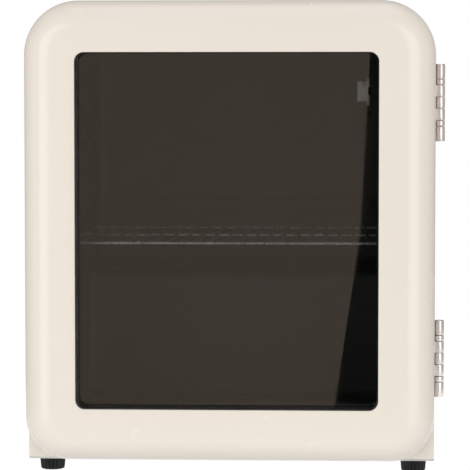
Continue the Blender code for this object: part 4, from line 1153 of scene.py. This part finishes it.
for k in range(9):
    turn = radians(225 - 270 * k / 8)
    size = (0.5 + 0.06 * k) * MM
    at = (knob_face - 3.9 * MM, knob_y + 14.3 * MM * cos(turn), knob_z + 14.3 * MM * sin(turn))
    dots.append(turned("dot", ((size, -0.30 * MM), (size * 0.8, -0.42 * MM)), at, "X", 16))
piece("thermostat_dial", joined("dial", dial, grip, *dots), "thermostat_knob")

lens_low, lens_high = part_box("lamp_lens")
lens_mesh = merged_copy("lamp_lens")
ribs = []
for k in range(12):
    z = lens_low.z + 4.2 * MM + 3.4 * MM * k
    if z + 1.6 * MM < lens_high.z - 3 * MM:
        low = (lens_low.x - 0.5 * MM, lens_low.y + 3 * MM, z)
        ribs.append(block("rib", low, (lens_low.x + 0.45 * MM, lens_high.y - 3 * MM, z + 1.5 * MM)))
piece("lamp_cover_ribbed", with_round_edges(cut(lens_mesh, *ribs), 0.35 * MM, 2), "lamp_lens")
# %% [markdown]
# ## Cold plate
#
# Two aluminium sheets are rolled together and one is blown up along a printed path, which leaves a smooth
# raised channel. A grid of points lifted by its distance from that path gives the same soft shape.

# %% Cold plate
plate_low, plate_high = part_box("evaporator_plate")
sheet_back = plate_low.y + 1.5 * MM
lift = plate_high.y - sheet_back
rows, margin, half = 5, 20 * MM, 5.0 * MM
reach = (plate_high.x - plate_low.x) / 2 - 22 * MM
pitch = (plate_high.z - plate_low.z - 2 * margin) / (rows - 1)
path = []
for k in range(rows):
    z = plate_low.z + margin + k * pitch
    ends = (MIDDLE + reach, z), (MIDDLE - reach, z)
    path += ends if k % 2 == 0 else ends[::-1]


def from_path(x, z):
    best = 1.0
    for (x0, z0), (x1, z1) in zip(path, path[1:]):
        dx, dz = x1 - x0, z1 - z0
        share = max(0.0, min(1.0, ((x - x0) * dx + (z - z0) * dz) / (dx * dx + dz * dz)))
        best = min(best, ((x - x0 - share * dx) ** 2 + (z - z0 - share * dz) ** 2) ** 0.5)
    return best


ACROSS, UP = 150, 84
bm = bmesh.new()
grids, rims = [], []
for raised in (False, True):
    grid = []
    for i in range(ACROSS + 1):
        x = plate_low.x + (plate_high.x - plate_low.x) * i / ACROSS
        column = []
        for j in range(UP + 1):
            z = plate_low.z + (plate_high.z - plate_low.z) * j / UP
            far = from_path(x, z) / half
            y = plate_low.y
            if raised:
                y = sheet_back + (lift * (1 - far * far) ** 0.5 if far < 1 else 0.0)
            column.append(bm.verts.new((x, y, z)))
        grid.append(column)
    rim = [grid[i][0] for i in range(ACROSS)] + grid[ACROSS][:UP]
    rim += [grid[i][UP] for i in range(ACROSS, 0, -1)] + grid[0][:0:-1]
    grids.append(grid)
    rims.append(rim)
for grid in grids:
    grid_faces(bm, grid)
one, other = rims
for k in range(len(one)):
    n = (k + 1) % len(one)
    bm.faces.new((one[k], one[n], other[n], other[k]))
piece("cold_plate_rolled", to_mesh(bm, "plate"), "evaporator_plate")

# %% [markdown]
# ## The compressor
#
# Two deep-drawn steel cups are welded at a flange and painted black. From above they are a rounded
# oblong, a superellipse. The shell stands on a plate with four rubber mounts.

# %% The compressor
shell_low, shell_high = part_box("compressor_shell")
motor = (shell_low + shell_high) / 2
reach_x, reach_y = (shell_high.x - shell_low.x) / 2.06, (shell_high.y - shell_low.y) / 2.06
half_z = (shell_high.z - shell_low.z) / 2


def oval(scale, z, sides=96):
    points = []
    for k in range(sides):
        turn = 2 * pi * k / sides
        x = copysign(abs(cos(turn)) ** 0.8, cos(turn))
        y = copysign(abs(sin(turn)) ** 0.8, sin(turn))
        points.append((motor.x + reach_x * scale * x, motor.y + reach_y * scale * y, motor.z + z))
    return points


DOME_STEPS, DOME_TURN = 14, 84
upper = [(1.0, 3.2 * MM)]
for k in range(2, DOME_STEPS + 1):
    turn = radians(DOME_TURN * k / DOME_STEPS)
    upper.append((max(cos(turn), 0.02) ** 0.5, half_z * sin(turn) / sin(radians(DOME_TURN))))
upper = [row for row in upper if row[1] >= 3.2 * MM]
lower = [(scale, -z) for scale, z in reversed(upper)]
SEAM = ((1.012, -2.6), (1.028, -2.0), (1.03, -1.0), (1.024, 0.0), (1.03, 1.0), (1.028, 2.0), (1.012, 2.6))
seam = [(scale, z * MM) for scale, z in SEAM]
ends = [(0.05, -half_z), (0.16, -half_z)], [(0.16, half_z), (0.05, half_z)]
levels = [*ends[0], *lower, *seam, *upper, *ends[1]]
shell = loft("shell", [oval(scale, z) for scale, z in levels])
SOCKET_ASIDE, SOCKET_UP = 0.045, 0.012
sockets = []
for x, r in ((motor.x + SOCKET_ASIDE, 3.1 * MM), (motor.x - SOCKET_ASIDE, 3.8 * MM)):
    at = (x, 0, motor.z + SOCKET_UP)
    sockets.append(turned("socket", ((r, motor.y), (r, motor.y + 0.2)), at, "Y", 32))
piece("compressor_shell_pressed", cut(shell, *sockets), "compressor_shell")
MOUNT = [(8.8, 0.0), (9.7, 0.4), (10.0, 1.2), (10.0, 2.6), (8.6, 3.4), (8.3, 4.6), (9.2, 5.6), (9.2, 6.6)]
MOUNT += [(8.0, 7.4), (8.8, 9.0), (8.8, 10.0), (5.5, 10.2), (5.5, 13.3), (7.3, 13.4), (7.5, 14.0)]
for number in range(1, 5):
    node = f"compressor_mount_{number}"
    low, high, centre = upright(node)
    top = in_mm([(7.2, -0.8), (6.2, 0.0), (2.6, 0.0), (2.2, -1.4)], high.z)
    piece(f"{node}_rubber", turned("mount", in_mm(MOUNT, low.z) + top, centre, sides=48), node)

# %% Electrics and drain
gland_low, gland_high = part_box("cord_gland")
gland_x, gland_z = (gland_low.x + gland_high.x) / 2, (gland_low.z + gland_high.z) / 2
y = gland_low.y
gland_profile = in_mm([(7.4, 0.0), (8.0, 0.5), (8.0, 2.6), (7.5, 3.0)], y)
for k in range(4):
    start = 3.2 + 2.5 * k
    wide = 6.2 - 0.28 * k
    rib = [(wide, start), (wide, start + 1.4), (wide - 1.1, start + 1.6), (wide - 1.1, start + 2.3)]
    gland_profile += in_mm(rib, y)
gland_profile += [(4.9 * MM, gland_high.y - 0.4 * MM), (4.5 * MM, gland_high.y)]
gland_profile += [(3.5 * MM, gland_high.y), (3.5 * MM, y)]
gland = turned("gland", gland_profile, (gland_x, 0, gland_z), "Y", 48, hollow=True)
piece("cord_gland_ribbed", gland, "cord_gland")

drain_path = [(MIDDLE, cold_high.y - 0.2 * MM, drain_z), (MIDDLE, drain_y, drain_z)]
drain_path = points_mesh([*drain_path, (MIDDLE, drain_y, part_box("drain_tube")[0].z)], linked=True)
sizes = {"Radius": 4.5 * MM, "Bend": 8 * MM, "Sides": 28}
drain_mesh = grown("drain", tube_tree, drain_path, look["white_moulding"], **sizes)
piece("drain_hose", drain_mesh, "drain_tube")

# %% [markdown]
# ## Refrigerant circuit
#
# From the compressor the gas goes to the coil on the back, gives up its heat, passes a drier and a thin
# capillary, boils in the cold plate and comes home through the suction line. Every run is the tube tree
# on a few corner points.

# %% Refrigerant circuit
coil_low, coil_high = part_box("condenser_tube")
COIL_RADIUS = 2.5 * MM
coil_y = (coil_low.y + coil_high.y) / 2
COIL_TOP, COIL_PITCH, COIL_RUNGS = coil_high.z - COIL_RADIUS, 27.3 * MM, 11
COIL_SIDE, COIL_END = 0.1636, 0.165
drier_low, drier_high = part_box("filter_drier")
points = [(MIDDLE + COIL_END, coil_y, COIL_TOP)]
for k in range(COIL_RUNGS - 1):
    way = 1 if k % 2 else -1
    for z in (COIL_TOP - k * COIL_PITCH, COIL_TOP - (k + 1) * COIL_PITCH):
        points.append((MIDDLE + way * COIL_SIDE, coil_y, z))
last_run = COIL_TOP - (COIL_RUNGS - 1) * COIL_PITCH
points.append((MIDDLE - COIL_END, coil_y, last_run))
points.append((MIDDLE - COIL_END, coil_y, drier_high.z + GAP))
sizes = {"Radius": COIL_RADIUS, "Bend": COIL_PITCH / 2, "Sides": 16, "Bend_Steps": 12}
coil = grown("coil", tube_tree, points_mesh(points, True), look["black_paint"], **sizes)
piece("condenser_coil", coil, "condenser_tube")

LINE_Y = 0.2205
CAPILLARY, SUCTION = 1.2 * MM, 3.2 * MM
plate_port = plate_low.y + 1.8 * MM
x, z = MIDDLE - COIL_END, drier_low.z
capillary_path = [
    (x, coil_y, z - GAP),
    (x, coil_y, z - 0.022),
    (capillary_x, LINE_Y, z - 0.022),
    (capillary_x, LINE_Y, PORT_Z),
    (capillary_x, plate_port, PORT_Z),
]
stub, out_z = motor.y + 0.045, motor.z + SOCKET_UP
out_x = motor.x - SOCKET_ASIDE
suction_path = [
    (out_x, stub, out_z),
    (out_x, LINE_Y, out_z),
    (suction_x, LINE_Y, out_z),
    (suction_x, LINE_Y, PORT_Z),
    (suction_x, plate_port, PORT_Z),
]
out_x, side_x = motor.x + SOCKET_ASIDE, MIDDLE + COIL_END + 0.020
discharge_path = [
    (out_x, stub, out_z),
    (out_x, coil_y, out_z),
    (side_x, coil_y, out_z),
    (side_x, coil_y, COIL_TOP),
    (MIDDLE + COIL_END + GAP, coil_y, COIL_TOP),
]
for name, node, run, radius, bend in (
    ("capillary_copper", "capillary_tube", capillary_path, CAPILLARY, 6 * MM),
    ("suction_copper", "suction_line", suction_path, SUCTION, 8 * MM),
    ("discharge_copper", "discharge_line", discharge_path, COIL_RADIUS, 8 * MM),
):
    sizes = {"Radius": radius, "Bend": bend, "Sides": 20, "Bend_Steps": 8}
    piece(name, grown(name, tube_tree, points_mesh(run, True), look["copper"], **sizes), node)

# The drier: a copper shell with swaged, narrowing ends.
low, high, centre = upright("filter_drier")
wide, NECK_WIDE = (high.x - low.x) / 2, 3.1 * MM
eases = [(1 - cos(pi * k / 8)) / 2 for k in range(9)]
drier_profile = [(3.0 * MM, low.z), (NECK_WIDE, low.z + 2.0 * MM)]
for k, ease in enumerate(eases):
    drier_profile.append((NECK_WIDE + (wide - NECK_WIDE) * ease, low.z + (2.0 + 9.0 * k / 8) * MM))
body_top = high.z - 11 * MM
for z in (low.z + 16 * MM, body_top - 8 * MM):
    groove = ((0.0, 0.0), (0.5, 0.6), (0.5, 1.6), (0.0, 2.2))
    drier_profile += [(wide - depth * MM, z + up * MM) for depth, up in groove]
for k, ease in enumerate(eases[::-1]):
    drier_profile.append((NECK_WIDE + (wide - NECK_WIDE) * ease, body_top + 9.0 * MM * k / 8))
drier_profile += [(NECK_WIDE, high.z - 2.0 * MM), (3.0 * MM, high.z)]
piece("drier_copper", turned("drier", drier_profile, centre, sides=48), "filter_drier")

# %% Condenser wires
# Many thin wires are spot-welded across the coil to spread its heat.
low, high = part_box("condenser_wires")
r, y = (high.y - low.y) / 2, (low.y + high.y) / 2
wide, _, tall = high - low
FINS = 48
step = ((wide - 2 * r) / (FINS - 1), 0.0, 0.0)
fins = wire_row("black_paint", FINS, (low.x + r, y, low.z), step, (0.0, 0.0, tall), r, 8)
first, step = (low.x, y, low.z + r + 2 * MM), (0.0, 0.0, (tall - 2 * r - 4 * MM) / 2)
rails = wire_row("black_paint", 3, first, step, (wide, 0.0, 0.0), r, 10)
piece("condenser_wires_welded", joined("wires", fins, rails), "condenser_wires")

# %% [markdown]
# ## Screws
#
# Screws hold the hinge leaves, the back panel and the control box. One head is made with a cross recess,
# and the fastener tree sets it down wherever a screw goes.

# %% Screws


def screw_head(radius, height, cells=18):
    """A low domed head with a cross recess, its top towards +Z and its underside at Z = 0."""
    bm = bmesh.new()
    grid = []
    for i in range(cells + 1):
        row = []
        for j in range(cells + 1):
            u, v = 2 * i / cells - 1, 2 * j / cells - 1
            x, y = u * (1 - v * v / 2) ** 0.5, v * (1 - u * u / 2) ** 0.5
            far = min(1.0, (x * x + y * y) ** 0.5)
            z = height * (0.35 + 0.65 * max(0.0, 1 - far**2.6) ** 0.6)
            arm = (abs(x) < 0.13 and abs(y) < 0.52) or (abs(y) < 0.13 and abs(x) < 0.52)
            if arm:
                z -= height * 0.7
            row.append(bm.verts.new((x * radius, y * radius, z)))
        grid.append(row)
    grid_faces(bm, grid)
    rim = [e for e in bm.edges if e.is_boundary]
    made = bmesh.ops.extrude_edge_only(bm, edges=rim)["geom"]
    for v in [v for v in made if isinstance(v, bmesh.types.BMVert)]:
        v.co.z = 0.0
    bottom = [e for e in bm.edges if e.is_boundary]
    bmesh.ops.contextual_create(bm, geom=bottom)
    return to_mesh(bm, "head")


def screws(name, places, turn, radius, height, body, coat="steel"):
    head = scratch(screw_head(radius, height))
    mesh = grown(name, fastener_tree, points_mesh(places), look[coat], pattern=head, Turn=turn)
    bpy.data.objects.remove(head, do_unlink=True)
    return piece(name, mesh, body=body, slot=coat)


LEAF_SCREW_PITCH = 27 * MM
leaf_x = AXIS_X - AXIS_OUT - LEAF_WIDE / 2
leaf_y = LEAF_FACE - LEAF_THICK
for level, middle in hinge_middles.items():
    for body, way in (("cabinet", 1), ("door", -1)):
        places = [(leaf_x, AXIS_Y + way * leaf_y, middle + step * LEAF_SCREW_PITCH) for step in (-1, 0, 1)]
        name, turn = f"{level}_{body}_leaf_screws", (way * pi / 2, 0.0, 0.0)
        screws(name, places, turn, 3.6 * MM, 0.9 * MM, body, "chrome")

panel_back = back_high.y
edge_x = (back_high.x - back_low.x) / 2 - 9 * MM
places = [(MIDDLE + s * edge_x, panel_back, z) for s in (-1, 1) for z in (0.185, 0.290, 0.395)]
places += [(MIDDLE + x, panel_back, back_high.z - 9 * MM) for x in (-0.13, 0.0, 0.13)]
screws("back_panel_screws", places, (-pi / 2, 0.0, 0.0), 3.4 * MM, 1.6 * MM, "cabinet")
corners = ((0.034, 0.010), (0.092, 0.050))
places = [(control_low.x, control_low.y + y, control_low.z + z) for y, z in corners]
screws("control_box_screws", places, (0.0, -pi / 2, 0.0), 2.6 * MM, 1.1 * MM, "cabinet")

# Four clips hold the condenser off the back panel. Each is a bent strap, a foot on the panel and a post out
# to the coil.
CLIP_ASIDE, FOOT_HALF = 0.1555, 6 * MM
clip_parts = []
for s in (-1, 1):
    for z in (COIL_TOP - 1.5 * COIL_PITCH, COIL_TOP - 7.5 * COIL_PITCH):
        x = MIDDLE + s * CLIP_ASIDE
        foot_low = (x - FOOT_HALF, panel_back + 0.05 * MM, z - FOOT_HALF)
        foot = block("foot", foot_low, (x + FOOT_HALF, panel_back + 1.2 * MM, z + FOOT_HALF))
        post_low = (x - 1.5 * MM, panel_back + 0.6 * MM, z - 4 * MM)
        post = block("post", post_low, (x + 1.5 * MM, coil_high.y + 1.5 * MM, z + 4 * MM))
        clip_parts += [with_round_edges(foot, 0.4 * MM, 2), with_round_edges(post, 0.4 * MM, 2)]
piece("condenser_clips", joined("clips", *clip_parts), body="cabinet", slot="black_moulding")

# %% [markdown]
# ## The size of what is drawn

# %% Finish
low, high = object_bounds()
print("visual box:", [round(v, 4) for v in (*low, *high)])
